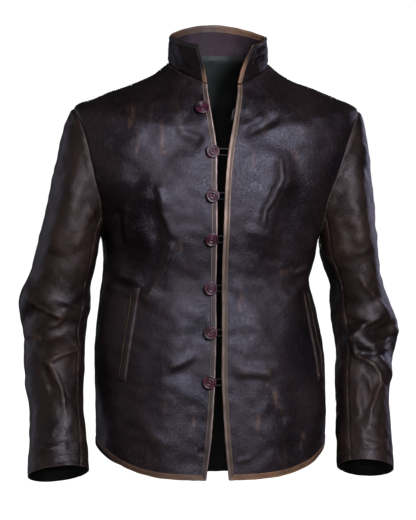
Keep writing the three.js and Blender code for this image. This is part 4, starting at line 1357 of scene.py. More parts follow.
@dataclass(frozen=True)
class LeatherFinish:
    """Waxed leather whose dye is uneven and rubbed through on crests and edges, with patches of painted
    shade.
    """

    name: str
    dark: Colour
    warm: Colour
    rubbed: Colour
    raw_edge: Colour
    roughness: tuple[float, float] = (0.31, 0.42)
    cloud_size: float = 9.0
    streaks: float = 0.22
    edge_reach: float = 2.2
    crest: float = 0.12
    grain_depth: float = 0.45
    shine: float = 0.34
    lustre: Colour = (0.93, 0.89, 1.0)

    def material(self, effects: Effects) -> bpy.types.Material:
        """Builds the material."""
        material, nodes, shader = new_material(self.name)
        place = nodes.place()
        hide = nodes.hide()
        edge = nodes.attribute("edge")
        relief = nodes.attribute("relief")
        mottle = nodes.group(effects.mottle, {"Vector": place, "Hide": hide, "Cloud Size": self.cloud_size})
        wear = {"Vector": place, "Edge": edge, "Relief": relief, "Reach": self.edge_reach}
        rub = nodes.group(effects.rub, wear)
        grain = nodes.group(effects.grain, {"Vector": place})
        ragged = nodes.ramp(nodes.noise(nodes.stretched(hide, (1.0, 0.3, 1.0)), 130.0, 4.0, 0.7), 0.36, 0.66)
        scuffed = nodes.times(nodes.attribute("rub"), ragged)
        colour = nodes.blend(mottle["Clouds"], linear(*self.dark), linear(*self.warm))
        for mask, strength in (
            (mottle["Streaks"], self.streaks),
            (scuffed, 0.8),
            (rub["Crest Mask"], self.crest),
            (mottle["Specks"], 0.13),
        ):
            colour = nodes.blend(nodes.times(mask, strength), colour, linear(*self.rubbed))
        # Painted shade: the placed patches darken the colour almost to black and lower the roughness there.
        burnish = nodes.attribute("burnish")
        colour = nodes.blend(nodes.times(burnish, 0.8), colour, linear(8, 5, 5))
        edged = nodes.times(rub["Edge Mask"], 0.75)
        colour = nodes.blend(edged, colour, linear(*self.raw_edge))
        nodes.feed(shader.inputs["Base Color"], colour)
        smooth, dull = self.roughness
        rough = nodes.ramp(mottle["Clouds"], 0.0, 1.0, smooth, dull)
        rough = nodes.plus(rough, nodes.times(rub["Edge Mask"], 0.15))
        rough = nodes.minus(rough, nodes.times(burnish, 0.1))
        nodes.feed(shader.inputs["Roughness"], nodes.plus(rough, nodes.times(grain["Pores"], 0.1)))
        nodes.bump(shader, 0.55, self.grain_depth, grain["Height"])
        shader.inputs["Specular IOR Level"].default_value = self.shine
        shader.inputs["Specular Tint"].default_value = (*self.lustre, 1.0)
        return material


@dataclass(frozen=True)
class BindingFinish:
    """A folded leather strip, rubbed pale along its fold and beside its stitching, and darkened towards its
    dim colour: partly its own wear, partly painted shade.
    """

    name: str
    core: Colour
    pale: Colour
    shade: Colour
    dim: Colour = (26, 19, 18)
    fold_line: float = 0.3
    seam_line: float = 0.5
    roughness: float = 0.6

    def material(self, effects: Effects) -> bpy.types.Material:
        """Builds the material."""
        material, nodes, shader = new_material(self.name)
        place = nodes.place()
        hide = nodes.hide()
        across = nodes.attribute("across")
        wear_and_painted_shade = nodes.attribute("wear_and_painted_shade")
        grain = nodes.group(effects.grain, {"Vector": place})
        mottle = nodes.group(effects.mottle, {"Vector": place, "Hide": hide, "Cloud Size": 38.0})
        ragged = nodes.noise(nodes.stretched(hide, (1.0, 0.25, 1.0)), 420.0, 4.0, 0.65)
        fold = nodes.ramp(across, self.fold_line, self.fold_line * 0.4)
        stitched = nodes.times(nodes.ramp(across, 0.74, 0.8), nodes.ramp(across, 0.99, 0.9))
        blotches = nodes.noise(nodes.stretched(hide, (1.0, 0.3, 1.0)), 60.0, 3.0, 0.6)
        patches = nodes.ramp(blotches, 0.35, 0.65, 0.35, 1.0)
        worn = nodes.math("MAXIMUM", fold, nodes.times(stitched, self.seam_line))
        broken = nodes.times(worn, nodes.ramp(ragged, 0.25, 0.6, 0.5, 1.0))
        broken = nodes.times(broken, patches)
        colour = nodes.blend(mottle["Clouds"], linear(*self.shade), linear(*self.core))
        colour = nodes.blend(broken, colour, linear(*self.pale))
        # Darkening towards the dim colour, by the value each strip carries; on the hems this is painted
        # shade.
        dark = nodes.minus(1.0, wear_and_painted_shade, clamp=True)
        colour = nodes.blend(dark, colour, linear(*self.dim))
        nodes.feed(shader.inputs["Base Color"], colour)
        rough = nodes.ramp(ragged, 0.2, 0.8, self.roughness - 0.08, self.roughness + 0.1)
        nodes.feed(shader.inputs["Roughness"], rough)
        nodes.bump(shader, 0.6, 0.16, grain["Height"])
        return material


@dataclass(frozen=True)
class LiningFinish:
    """A dark woven lining with a faint lustre."""

    name: str = "woven_lining"
    deep: Colour = (34, 40, 36)
    light: Colour = (42, 48, 44)

    def material(self, effects: Effects) -> bpy.types.Material:
        """Builds the material."""
        material, nodes, shader = new_material(self.name)
        hide = nodes.hide()
        weave = nodes.group(effects.weave, {"Hide": hide})
        colour = nodes.blend(weave["Tone"], linear(*self.deep), linear(*self.light))
        nodes.feed(shader.inputs["Base Color"], colour)
        nodes.feed(shader.inputs["Roughness"], nodes.ramp(weave["Tone"], 0.3, 0.7, 0.62, 0.74))
        nodes.bump(shader, 0.3, 0.08, weave["Height"])
        shader.inputs["Sheen Weight"].default_value = 0.15
        shader.inputs["Sheen Roughness"].default_value = 0.4
        return material


@dataclass(frozen=True)
class GlossFinish:
    """Polished horn-like button stock, burgundy with darker swirls and fine scratches."""

    name: str = "burgundy_gloss"
    deep: Colour = (32, 10, 19)
    bright: Colour = (82, 28, 46)

    def material(self) -> bpy.types.Material:
        """Builds the material."""
        material, nodes, shader = new_material(self.name)
        place = nodes.place()
        swirl = nodes.noise(place, 120.0, 3.0, 0.6)
        scratch = nodes.noise(nodes.stretched(place, (1.0, 1.0, 6.0)), 900.0, 3.0, 0.6)
        colour = nodes.blend(nodes.ramp(swirl, 0.35, 0.7), linear(*self.deep), linear(*self.bright))
        nodes.feed(shader.inputs["Base Color"], colour)
        nodes.feed(shader.inputs["Roughness"], nodes.ramp(scratch, 0.35, 0.75, 0.3, 0.4))
        nodes.bump(shader, 0.15, 0.05, scratch)
        shader.inputs["Coat Weight"].default_value = 0.2
        shader.inputs["Coat Roughness"].default_value = 0.16
        return material


@dataclass(frozen=True)
class CordFinish:
    """Rolled leather cord or waxed thread, with fibres that twist along it."""

    name: str
    deep: Colour
    light: Colour
    roughness: float = 0.55

    def material(self) -> bpy.types.Material:
        """Builds the material."""
        material, nodes, shader = new_material(self.name)
        place = nodes.place()
        fibre = nodes.noise(place, 1400.0, 3.0, 0.6)
        tone = nodes.noise(place, 150.0, 3.0, 0.6)
        colour = nodes.blend(nodes.ramp(tone, 0.3, 0.7), linear(*self.deep), linear(*self.light))
        rough = nodes.ramp(fibre, 0.2, 0.8, self.roughness - 0.1, self.roughness + 0.1)
        nodes.feed(shader.inputs["Base Color"], colour)
        nodes.feed(shader.inputs["Roughness"], rough)
        nodes.bump(shader, 0.4, 0.1, fibre)
        return material


def new_material(name: str) -> tuple[bpy.types.Material, NodeTree, bpy.types.Node]:
    """An empty node material, short calls for its tree, and its Principled shader."""
    material = bpy.data.materials.new(name)
    material.use_nodes = True
    nodes = NodeTree(material.node_tree)
    return material, nodes, material.node_tree.nodes["Principled BSDF"]


class Finishes:
    """Every material of the jacket."""

    def __init__(self) -> None:
        """Builds the materials from their finishes."""
        effects = Effects()
        self.body = LeatherFinish(
            "body_leather",
            dark=(16, 11, 14), warm=(33, 23, 22), rubbed=(104, 78, 60), raw_edge=(56, 40, 34),
            shine=0.4, lustre=(0.86, 0.82, 1.0),
        ).material(effects)
        self.sleeve = LeatherFinish(
            "sleeve_leather",
            dark=(18, 12, 13), warm=(43, 30, 26), rubbed=(108, 82, 64), raw_edge=(84, 68, 62),
            cloud_size=12.0, streaks=0.4, crest=0.2, lustre=(1.0, 0.91, 0.93),
        ).material(effects)
        self.collar = LeatherFinish(
            "collar_leather",
            dark=(13, 10, 11), warm=(25, 17, 18), rubbed=(78, 58, 48), raw_edge=(40, 29, 26),
            shine=0.16,
        ).material(effects)
        self.inner_collar = LeatherFinish(
            "inner_collar_leather",
            dark=(34, 24, 30), warm=(56, 40, 46), rubbed=(96, 72, 60), raw_edge=(84, 60, 48),
            roughness=(0.5, 0.62), streaks=0.3, edge_reach=3.0, shine=0.3,
        ).material(effects)
        self.right_binding = BindingFinish(
            "worn_right_binding",
            core=(74, 56, 50), pale=(208, 176, 166), shade=(50, 38, 34), fold_line=0.16,
            seam_line=0.3,
        ).material(effects)
        self.left_binding = BindingFinish(
            "worn_left_binding",
            core=(100, 78, 62), pale=(196, 165, 147), shade=(62, 46, 34), dim=(48, 32, 18),
            fold_line=0.5,
        ).material(effects)
        self.collar_binding = BindingFinish(
            "worn_collar_binding", core=(132, 98, 76), pale=(160, 116, 82), shade=(92, 68, 52),
            dim=(17, 12, 14), seam_line=0.1,
        ).material(effects)
        self.hem_binding = BindingFinish(
            "worn_hem_binding", core=(118, 82, 54), pale=(150, 106, 68), shade=(78, 55, 40)
        ).material(effects)
        self.lining = LiningFinish().material(effects)
        self.button = GlossFinish().material()
        self.cord = CordFinish("rolled_cord", deep=(13, 9, 11), light=(32, 22, 25), roughness=0.5).material()
        self.thread = CordFinish("waxed_thread", deep=(96, 70, 50), light=(150, 116, 86)).material()
        self.dark_thread = CordFinish("dark_thread", deep=(38, 28, 26), light=(70, 54, 46)).material()


# ---------------------------------------------------------------- panels


def arc_lengths(points: Array) -> Array:
    """Length along each row of a grid of points, from its first point."""
    steps = np.linalg.norm(np.diff(points, axis=1), axis=-1)
    return np.concatenate([np.zeros((len(points), 1)), np.cumsum(steps, axis=1)], axis=1)


def grid_normals(points: Array, like: Array) -> Array:
    """Normals of a grid of points, turned the same way as given ones."""
    down = np.gradient(points, axis=0)
    right = np.gradient(points, axis=1)
    normals = unit(np.cross(down, right))
    flip = np.sign((normals * like).sum(-1, keepdims=True))
    return normals * np.where(flip == 0, 1, flip)


def neck_normals(angle: Array) -> Array:
    """Directions between the body's and the collar's normals at the neck seam."""
    level = np.full(np.shape(angle), float(NECK))
    return unit(BODY.normal(level, angle) + COLLAR.surface(0.0, np.mod(angle, 360))[1])


@dataclass
class LeatherPanel:
    """One cut panel: a grid on a surface, rolled down along its seams.

    Beside one seam the wall turns to the directions that it shares with its neighbour there.
    """

    name: str
    points: Array
    normals: Array
    relief: Array
    seams: Sequence[SeamLine]
    free_edge: Array
    wall: float = BODY_WALL
    marks: dict[str, Array] = field(default_factory=dict)
    shared: Array | None = None
    shared_seam: int = -1

    def mesh(self) -> MeshData:
        """The panel's wall with its worn edges and relief marked."""
        change = np.zeros(self.points.shape[:2])
        edge = self.free_edge.copy()
        share = np.zeros((*change.shape, 1))
        for seam in self.seams:
            height, distance = seam.roll(self.points)
            change = change + height
            edge = np.minimum(edge, distance)
            if seam is self.seams[self.shared_seam]:
                share = np.exp(-((distance / 5.0) ** 2))[..., None]
        toward = self.normals if self.shared is None else self.shared
        points = self.points + unit(lerp(self.normals, toward, share)) * change[..., None]
        cloth = np.stack([arc_lengths(points) * MM, points[..., 2] * MM], axis=-1)
        values = {"edge": edge, "relief": self.relief, "rub": 0.0 * edge, "burnish": 0.0 * edge}
        values.update(self.marks)
        normals = unit(lerp(grid_normals(points, self.normals), toward, share))
        return shell(points, normals, self.wall, values, cloth)


@dataclass
class FrontPanel:
    """One front of the body."""

    side: Side
    finishes: Finishes
    rows: int = 230
    columns: int = 100

    def angles(self, level: Array, share: Array) -> Array:
        """Angle at a share of the way from the front edge to the side seam."""
        first = self.side.value * BODY.front_angle(level, BODY.opening_x(level, self.side))
        offset = BODY.seam_angle(level, ARMHOLE_FRONT)
        return self.side.value * (lerp(first, 90, share) - offset * share**EDGE_CROWDING)

    def mesh(self) -> MeshData:
        """The front's wall."""
        level = BODY.front_levels(self.rows)[:, None]
        share = np.linspace(0, 1, self.columns)[None]
        level, share = np.broadcast_arrays(level, share)
        points, normals, relief = BODY.surface(level, self.angles(level, share))
        free = np.full(points.shape[:2], 90.0)
        panel = LeatherPanel(
            self.side.label, points, normals, relief, (side_seam(self.side, FRONT), neck_seam()), free,
            marks=BODY.marks(level, self.angles(level, share)),
            shared=neck_normals(self.angles(level, share)),
        )
        return panel.mesh()

    def build(self) -> Piece:
        """Builds and dresses the front."""
        name = f"{self.side.label}_front"
        obj = self.mesh().build(f"{name}_leather", [self.finishes.body, self.finishes.lining])
        return dress(obj, "body_leather", name)


@dataclass
class BackPanel:
    """The back of the body and its separate lining."""

    finishes: Finishes
    rows: int = 200
    columns: int = 150

    def angles(self, level: Array, share: Array) -> Array:
        """Angle from the left side seam, share 0, round to the right one."""
        offset = BODY.seam_angle(level, ARMHOLE_BACK)
        from_middle = np.abs(2 * share - 1)
        reach = lerp(0, 90, from_middle) - offset * from_middle**EDGE_CROWDING
        return np.where(share < 0.5, 180 - reach, 180 + reach)

    def grid(self, low: float, high: float, first: float, last: float, rows: int, columns: int) -> Cells:
        """Levels and shares of a stretch of the back."""
        levels = BODY.front_levels(600)
        levels = levels[(levels >= low) & (levels <= high)]
        picked = np.interp(np.linspace(0, 1, rows), np.linspace(0, 1, len(levels)), levels)
        return np.broadcast_arrays(picked[:, None], np.linspace(first, last, columns)[None])

    def build(self) -> Piece:
        """Builds and dresses the back."""
        level, share = self.grid(0, NECK, 0, 1, self.rows, self.columns)
        points, normals, relief = BODY.surface(level, self.angles(level, share))
        seams = (side_seam(Side.LEFT, BACK), side_seam(Side.RIGHT, BACK), neck_seam())
        panel = LeatherPanel(
            "back", points, normals, relief, seams, np.full(points.shape[:2], 90.0),
            marks=BODY.marks(level, self.angles(level, share)),
            shared=neck_normals(self.angles(level, share)),
        )
        obj = panel.mesh().build("back_leather", [self.finishes.body, self.finishes.lining])
        return dress(obj, "body_leather", "back")

    def build_lining(self) -> Piece:
        """Builds and dresses the lining inside the back."""
        level, share = self.grid(0.4, NECK, 0.19, 0.81, 130, 90)
        points, normals, _ = BODY.surface(level, self.angles(level, share))
        rise = np.linspace(0.02, 0.1, 6)[:, None]
        last = self.angles(np.full(90, float(NECK)), share[-1])[None]
        above, above_normals, _ = COLLAR.surface(rise, last)
        points, normals = np.concatenate([points, above]), np.concatenate([normals, above_normals])
        slack = 0.7 * (1 + undulation(points * np.array([1.0, 1.0, 0.35]), 44, 41, 10))
        depth = BODY_WALL + LINING_CLEARANCE + np.clip(slack, 0, 3)
        points = points - normals * depth[..., None]
        cloth = np.stack([arc_lengths(points) * MM, points[..., 2] * MM], axis=-1)
        values = {"edge": np.full(points.shape[:2], 90.0)}
        data = shell(points, grid_normals(points, normals), LINING_WALL, values, cloth)
        obj = data.build("back_lining_cloth", [self.finishes.lining, self.finishes.lining])
        return dress(obj, "lining", "back_lining")


@dataclass
class Sleeve:
    """A two-piece sleeve: the top sleeve and the undersleeve."""

    side: Side
    finishes: Finishes
    rows: int = 270

    def shares(self) -> Array:
        """Shares of the sleeve's length, closer together in the head's short start."""
        head = np.linspace(0, 1, 90) ** 1.25
        return np.concatenate([head[:-1], np.linspace(1, 2, self.rows - 89)])

    def seams(self) -> tuple[SeamLine, ...]:
        """The armhole seam and the two long seams."""
        form = SleeveForm(self.side)
        round_ = np.linspace(0, SLEEVE_COLUMNS, 140)
        long_ = np.linspace(0, 2, 150)
        armhole = SeamLine(form.raw(np.zeros(140), round_))
        front = SeamLine(form.raw(long_, np.full(150, float(FRONT_SEAM))), depth=0.9)
        back = SeamLine(form.raw(long_, np.full(150, float(BACK_SEAM))), depth=0.9)
        return armhole, front, back

    def panel(self, first: float, last: float, columns: int) -> MeshData:
        """The wall between two columns."""
        form = SleeveForm(self.side)
        gap = SEAM_GAP / 2 / COLUMN_ARC
        share, column = np.broadcast_arrays(
            self.shares()[:, None], np.linspace(first + gap, last - gap, columns)[None]
        )
        points, normals, relief = form.surface(share, column)
        cuff = (2 - share) * 360
        turned = 0.5 * np.exp(-(((cuff - 24) / 2.0) ** 2))
        points = points - normals * turned[..., None]
        panel = LeatherPanel(
            "sleeve", points, normals, relief, self.seams(), cuff + 0.2, SLEEVE_WALL,
            shared=form.armhole(column % SLEEVE_COLUMNS)[1], shared_seam=0,
        )
        return panel.mesh()

    def build(self) -> list[Piece]:
        """Builds and dresses both pieces."""
        label = self.side.label
        pieces = []
        for node, first, last, columns in (
            (f"{label}_top_sleeve", FRONT_SEAM, BACK_SEAM, 104),
            (f"{label}_undersleeve", BACK_SEAM - SLEEVE_COLUMNS, FRONT_SEAM, 36),
        ):
            data = self.panel(first, last, columns)
            obj = data.build(f"{node}_leather", [self.finishes.sleeve, self.finishes.lining])
            pieces.append(dress(obj, "sleeve_leather", node))
        return pieces


@dataclass
class StandCollar:
    """The standing collar."""

    finishes: Finishes

    def build(self) -> Piece:
        """Builds and dresses the collar."""
        rise, seam = np.broadcast_arrays(
            np.linspace(SEAM_GAP / COLLAR_HEIGHT, 1, 34)[:, None], np.linspace(*COLLAR.ends, 190)[None]
        )
        points, normals, relief = COLLAR.surface(rise, seam)
        free = (1 - rise) * COLLAR_HEIGHT
        panel = LeatherPanel(
            "collar", points, normals, relief, (neck_seam(),), free, shared=neck_normals(seam)
        )
        obj = panel.mesh().build("collar_leather", [self.finishes.collar, self.finishes.inner_collar])
        return dress(obj, "body_leather", "collar")


# ---------------------------------------------------------------- bindings

Sampler = Callable[[Array, Array], Cells]


@dataclass
class EdgeBinding:
    """A leather strip folded over an edge and stitched down.

    The sampler gives surface points and normals at stations along the edge and distances
    in from it, both in broadcastable arrays.
    """

    name: str
    node: str
    sampler: Sampler
    stations: Array
    wall: float = BODY_WALL
    width: float = BINDING_WIDTH
    wear_and_painted_shade_along: Callable[[Array], Array] | None = None
    inner_freshness: Callable[[Array], Array] | None = None
    inner_width: float = 5.4

    def rings(self) -> Cells:
        """Closed sections of the strip along the edge, and how far across each point lies."""
        face = np.array([1.0, 0.97, 0.88, 0.76, 0.7, 0.62, 0.48, 0.34, 0.2, 0.08, 0.0])
        lift = np.array([0.12, 0.6, 0.82, 0.84, 0.56, 0.84, 0.92, 0.95, 0.97, 0.98, 0.95])
        station = self.stations[:, None]
        points, normals = self.sampler(station, face[None] * self.width)
        edge_points, edge_normals = points[:, -1:], normals[:, -1:]
        inward = unit(points[:, -3:-2] - edge_points)
        step = np.arange(len(self.stations))
        sway = 0.16 * np.sin(step * 0.41 + 2 * np.sin(step * 0.07))
        outer = points + normals * (lift[None, :, None] + 0.06 * sway[:, None, None])
        phi = np.linspace(0, math.pi, 9)[1:-1]
        middle, radius = (0.95 - self.wall - 0.8) / 2, (0.95 + self.wall + 0.8) / 2
        bulge = (1.15 + sway)[:, None] * np.sin(phi)[None]
        over = (middle + radius * np.cos(phi))[None, :, None]
        fold = edge_points - inward * bulge[..., None] + edge_normals * over
        back_face = np.array([0.0, 0.35, 0.7, 1.0])
        back_points, back_normals = self.sampler(station, back_face[None] * self.inner_width)
        inner = back_points - back_normals * (self.wall + 0.8)
        hidden_inner = back_points[:, ::-1] - back_normals[:, ::-1] * (self.wall + 0.12)
        tuck = edge_points - inward * 0.25 - edge_normals * (self.wall / 2)
        front_face = np.array([0.0, 0.35, 0.7, 1.0])
        hidden, hidden_normals = self.sampler(station, front_face[None] * self.width)
        hidden = hidden + hidden_normals * 0.1
        rings = np.concatenate([outer, fold, inner, hidden_inner, tuck, hidden], axis=1)
        across = np.concatenate(
            [face, np.zeros(7), back_face, back_face[::-1], [0.0], front_face]
        )
        return rings, across

    def data(self) -> MeshData:
        """Mesh data of the strip, with its place across and along the edge."""
        rings, across = self.rings()
        points, faces = sweep(rings)
        run = np.concatenate([[0.0], np.cumsum(np.linalg.norm(np.diff(rings[:, 10], axis=0), axis=-1))])
        along = np.repeat(run, rings.shape[1])
        spread = np.tile(across, len(rings))
        outer = np.ones(len(self.stations)) if self.wear_and_painted_shade_along is None else self.wear_and_painted_shade_along(self.stations)
        inner = outer if self.inner_freshness is None else self.inner_freshness(self.stations)
        inside = np.concatenate([np.zeros(11), np.linspace(0, 1, 7), np.ones(8), np.zeros(5)])
        wear_and_painted_shade = lerp(outer[:, None], inner[:, None], inside[None])
        values = {"across": spread, "wear_and_painted_shade": wear_and_painted_shade.ravel()}
        cloth = np.stack([spread * self.width * MM, along * MM], axis=-1)
        return MeshData(points, outward(points, faces), None, values, cloth)

    def stitch_path(self, distance: float) -> Cells:
        """Points and normals of the line where the strip is sewn down."""
        points, normals = self.sampler(self.stations, np.full(len(self.stations), distance))
        return points + normals * 0.5, normals


@dataclass
class StitchRow:
    """Stitches in a row along a line."""

    points: Array
    normals: Array
    pitch: float = 4.0
    length: float = 2.9
    radius: float = 0.36

    def data(self) -> MeshData:
        """Mesh data of all the stitches, each a short bowed thread."""
        steps = np.linalg.norm(np.diff(self.points, axis=0), axis=-1)
        run = np.concatenate([[0.0], np.cumsum(steps)])
        count = max(1, int((run[-1] - 2) / self.pitch))
        starts = 1 + np.arange(count) * self.pitch
        share = np.linspace(0, 1, 5)
        at = starts[:, None] + share[None] * self.length
        spine = np.stack([np.interp(at, run, self.points[:, k]) for k in range(3)], axis=-1)
        up = unit(np.stack([np.interp(at, run, self.normals[:, k]) for k in range(3)], axis=-1))
        bow = np.array([-0.3, 0.2, 0.34, 0.2, -0.3])
        spine = spine + up * bow[None, :, None]
        ahead = unit(spine[:, -1:] - spine[:, :1])
        across = unit(np.cross(ahead, up))
        turn = np.arange(6) * math.pi / 3
        thickness = self.radius * np.array([0.55, 1.0, 1.1, 1.0, 0.55])[None, :, None, None]
        ring = (
            np.cos(turn)[None, None, :, None] * across[:, :, None]
            + np.sin(turn)[None, None, :, None] * up[:, :, None]
        )
        rings = spine[:, :, None] + ring * thickness
        one_points, one_faces = sweep(rings[0])
        one_faces = outward(one_points, one_faces)
        faces = one_faces[None] + (np.arange(count) * len(one_points))[:, None, None]
        return MeshData(rings.reshape(-1, 3), faces.reshape(-1, 4))


def hem_sampler(side: Side | None) -> Sampler:
    """Samples the hem: stations are angles, distances run up from the hem's edge."""

    def sample(station: Array, distance: Array) -> Cells:
        """Points and normals."""
        angle, distance = np.broadcast_arrays(station, distance)
        zero = np.zeros_like(angle)
        rise = BODY.raw(zero + 0.05, angle)[0] - BODY.raw(zero, angle)[0]
        level = distance / (np.linalg.norm(rise, axis=-1) / 0.05)
        if side is not None:
            reach = BODY.opening_x(level, side) + side.value * distance
            first = BODY.front_angle(level, reach)
            angle = side.value * np.maximum(side.value * angle, side.value * first)
        points, normals, _ = BODY.surface(level, angle)
        return points, normals

    return sample


def front_sampler(side: Side) -> Sampler:
    """Samples a front edge: stations are ring positions, distances run in from the edge."""

    def sample(station: Array, distance: Array) -> Cells:
        """Points and normals."""
        level, distance = np.broadcast_arrays(station, distance)
        level = np.maximum(level, distance / 96.0)
        angle = BODY.front_angle(level, BODY.opening_x(level, side) + side.value * distance)
        points, normals, _ = BODY.surface(level, angle)
        return points, normals

    return sample


def collar_sampler() -> tuple[Sampler, Array]:
    """Samples the collar's free edges, up one end, round the top and down the other.

    Returns:
        The sampler, and stations that are lengths along the edge.
    """
    left, right = COLLAR.ends
    top = (right - left) * COLLAR_MM_PER_DEGREE
    total = 2 * COLLAR_HEIGHT + top
    legs = np.concatenate(
        [
            np.linspace(0.6, COLLAR_HEIGHT, 34),
            np.linspace(COLLAR_HEIGHT, COLLAR_HEIGHT + top, 190)[1:-1],
            np.linspace(COLLAR_HEIGHT + top, total - 0.6, 34),
        ]
    )

    def sample(station: Array, distance: Array) -> Cells:
        """Points and normals."""
        station, distance = np.broadcast_arrays(station, distance)
        up = np.minimum(station, total - station)
        degrees_in = distance / COLLAR_MM_PER_DEGREE
        rise = np.minimum(up, COLLAR_HEIGHT - distance) / COLLAR_HEIGHT
        seam = left + np.clip(station - COLLAR_HEIGHT, 0, top) / COLLAR_MM_PER_DEGREE
        seam = np.clip(seam, left + degrees_in, right - degrees_in)
        points, normals, _ = COLLAR.surface(rise, seam)
        return points, normals

    return sample, legs


def left_edge_paleness(level: Array) -> Array:
    """Paleness of the left front edge by ring position: most at the chest."""
    return 0.3 + 0.7 * smoothstep(level, 3.8, 6.5) - 0.45 * smoothstep(level, 8.6, 10.4)


def right_edge_paleness(level: Array) -> Array:
    """Paleness of the right front edge by ring position: most at the chest, least at the belly."""
    return 0.4 + 0.6 * smoothstep(level, 2.0, 7.0) + 0.3 * np.exp(-(((level - 1.2) / 0.45) ** 2))


@dataclass
class Bindings:
    """All the bound edges and the stitches that hold them."""

    finishes: Finishes

    def strips(self) -> list[tuple[EdgeBinding, bpy.types.Material]]:
        """Every strip with its material."""
        neck = float(NECK)
        levels = BODY.front_levels(330)
        levels = levels[levels < neck - 0.01]
        found = []
        for side in Side:
            label = side.label
            strip = EdgeBinding(
                f"{label}_front_edge", f"{label}_front_binding", front_sampler(side), levels,
                wear_and_painted_shade_along=left_edge_paleness if side is Side.LEFT else right_edge_paleness,
            )
            worn = self.finishes.left_binding if side is Side.LEFT else self.finishes.right_binding
            found.append((strip, worn))
            start = BODY.front_angle(0.0, BODY.opening_x(0.0, side))
            end = side.value * (90 - BODY.seam_angle(0.0, ARMHOLE_FRONT))
            stations = np.linspace(float(start), float(end), 130)
            # Painted shade on the hem bindings: darker on the wearer's right, and darker towards the sides
            # where the hem turns away from the light.
            lit = 1.0 if side is Side.LEFT else 0.55
            found.append(
                (
                    EdgeBinding(
                        f"{label}_hem_edge", f"{label}_hem_binding", hem_sampler(side), stations,
                        wear_and_painted_shade_along=lambda s, lit=lit: lit * (1 - 0.5 * smoothstep(np.abs(s), 30, 80)),
                    ),
                    self.finishes.hem_binding,
                )
            )
        gap = BODY.seam_angle(0.0, ARMHOLE_BACK)
        stations = np.linspace(90 + float(gap), 270 - float(gap), 220)
        # The back hem binding is kept dark all along.
        back = EdgeBinding(
            "back_hem_edge", "back_hem_binding", hem_sampler(None), stations,
            wear_and_painted_shade_along=lambda s: 0.12 + 0.0 * s,
        )
        found.append((back, self.finishes.hem_binding))
        sampler, legs = collar_sampler()
        end = float(legs[-1])
        collar = EdgeBinding(
            "collar_edge", "collar_binding", sampler, legs, width=7.0, inner_width=12.0,
            wear_and_painted_shade_along=lambda s: (
                0.95 * smoothstep(-s, -52.0, -22.0) + 0.6 * smoothstep(s, end - 30.0, end - 8.0)
            ),
            inner_freshness=lambda s: 0.9 - 0.55 * smoothstep(s, 190.0, 330.0),
        )
        found.append((collar, self.finishes.collar_binding))
        return found

    def build(self) -> dict[str, list[Piece]]:
        """Builds and dresses the strips and their stitches, by the panel they belong to."""
        made: dict[str, list[Piece]] = {}
        for strip, material in self.strips():
            obj = strip.data().build(strip.name, [material])
            dress(obj, "worn_edge", strip.node)
            points, normals = strip.stitch_path(strip.width * 0.7)
            dark = strip.name in ("collar_edge", "right_front_edge")
            sewing = self.finishes.dark_thread if dark else self.finishes.thread
            thread = StitchRow(points, normals).data().build(f"{strip.name}_stitches", [sewing])
            dress(thread, "worn_edge")
            made[strip.name] = [obj, thread]
        return made


# ---------------------------------------------------------------- pockets


@dataclass
class PocketWelt:
    """A slanted pocket welt: a folded strip with two stitch rows."""

    side: Side
    finishes: Finishes
    top: tuple[float, float]
    bottom: tuple[float, float]
    width: float = 13.0

    def build(self) -> list[Piece]:
        """Builds and dresses the welt and its stitches."""
        sign = self.side.value
        steps = 60
        across = np.linspace(-0.5, 0.5, 15)
        share = np.linspace(0, 1, steps)[:, None]
        x = sign * (lerp(self.top[0], self.bottom[0], share) + across[None] * self.width)
        z = lerp(self.top[1], self.bottom[1], share) + 0.0 * x
        points, normals, _ = BODY.surface(*BODY.front_cells(x, z))
        lift = 2.3 - 1.5 * np.abs(2 * across) ** 5 + 0.35 * np.cos(2 * math.pi * across)
        lift = lift - 0.5 * np.exp(-((np.abs(across) - 0.36) / 0.035) ** 2)
        along = np.linspace(0, 1, steps)
        end = smoothstep(along, 0, 0.02) * smoothstep(1 - along, 0, 0.02)
        height = 0.3 + (lift[None] - 0.3) * end[:, None]
        raised = points + normals * height[..., None]
        edge = np.minimum(
            (0.5 - np.abs(across))[None] * self.width + 0.0 * end[:, None],
            40.0,
        )
        cloth = np.stack([arc_lengths(raised) * MM, raised[..., 2] * MM], axis=-1)
        values = {"edge": edge * 0.7 + 0.4}
        values |= {name: np.zeros_like(edge) for name in ("relief", "rub", "burnish")}
        data = shell(raised, grid_normals(raised, normals), 1.2, values, cloth)
        name = f"{self.side.label}_pocket_welt"
        welt = data.build(f"{name}_leather", [self.finishes.body, self.finishes.body])
        dress(welt, "body_leather", name)
        rows = [
            StitchRow(raised[2:-2, j] + 0.1 * normals[2:-2, j], normals[2:-2, j]).data()
            for j in (2, 12)
        ]
        thread = joined(rows).build(f"{name}_stitches", [self.finishes.thread])
        return [welt, dress(thread, "worn_edge")]


# ---------------------------------------------------------------- seam and cuff sewing


@dataclass
class TopStitching:
    """Sewing beside the neck seam and round the cuffs."""

    finishes: Finishes

    def build(self) -> list[Piece]:
        """Builds and dresses the rows."""
        angle = np.linspace(*COLLAR.ends, 260)[3:-3]
        angle = np.where(angle > 180, angle - 360, angle)
        points, normals, _ = BODY.surface(np.full(len(angle), NECK - 0.16), angle)
        neck = StitchRow(points + 0.35 * normals, normals).data()
        made = [dress(neck.build("neck_stitches", [self.finishes.dark_thread]), "body_leather")]
        for side in Side:
            form = SleeveForm(side)
            column = np.linspace(0, SLEEVE_COLUMNS, 200)
            share = np.full(200, 2 - 24 / 360)
            points, normals, _ = form.surface(share, column)
            row = StitchRow(points - 0.35 * normals, normals).data()
            obj = row.build(f"{side.label}_cuff_stitches", [self.finishes.dark_thread])
            made.append(dress(obj, "sleeve_leather"))
        return made


# ---------------------------------------------------------------- buttons and loops


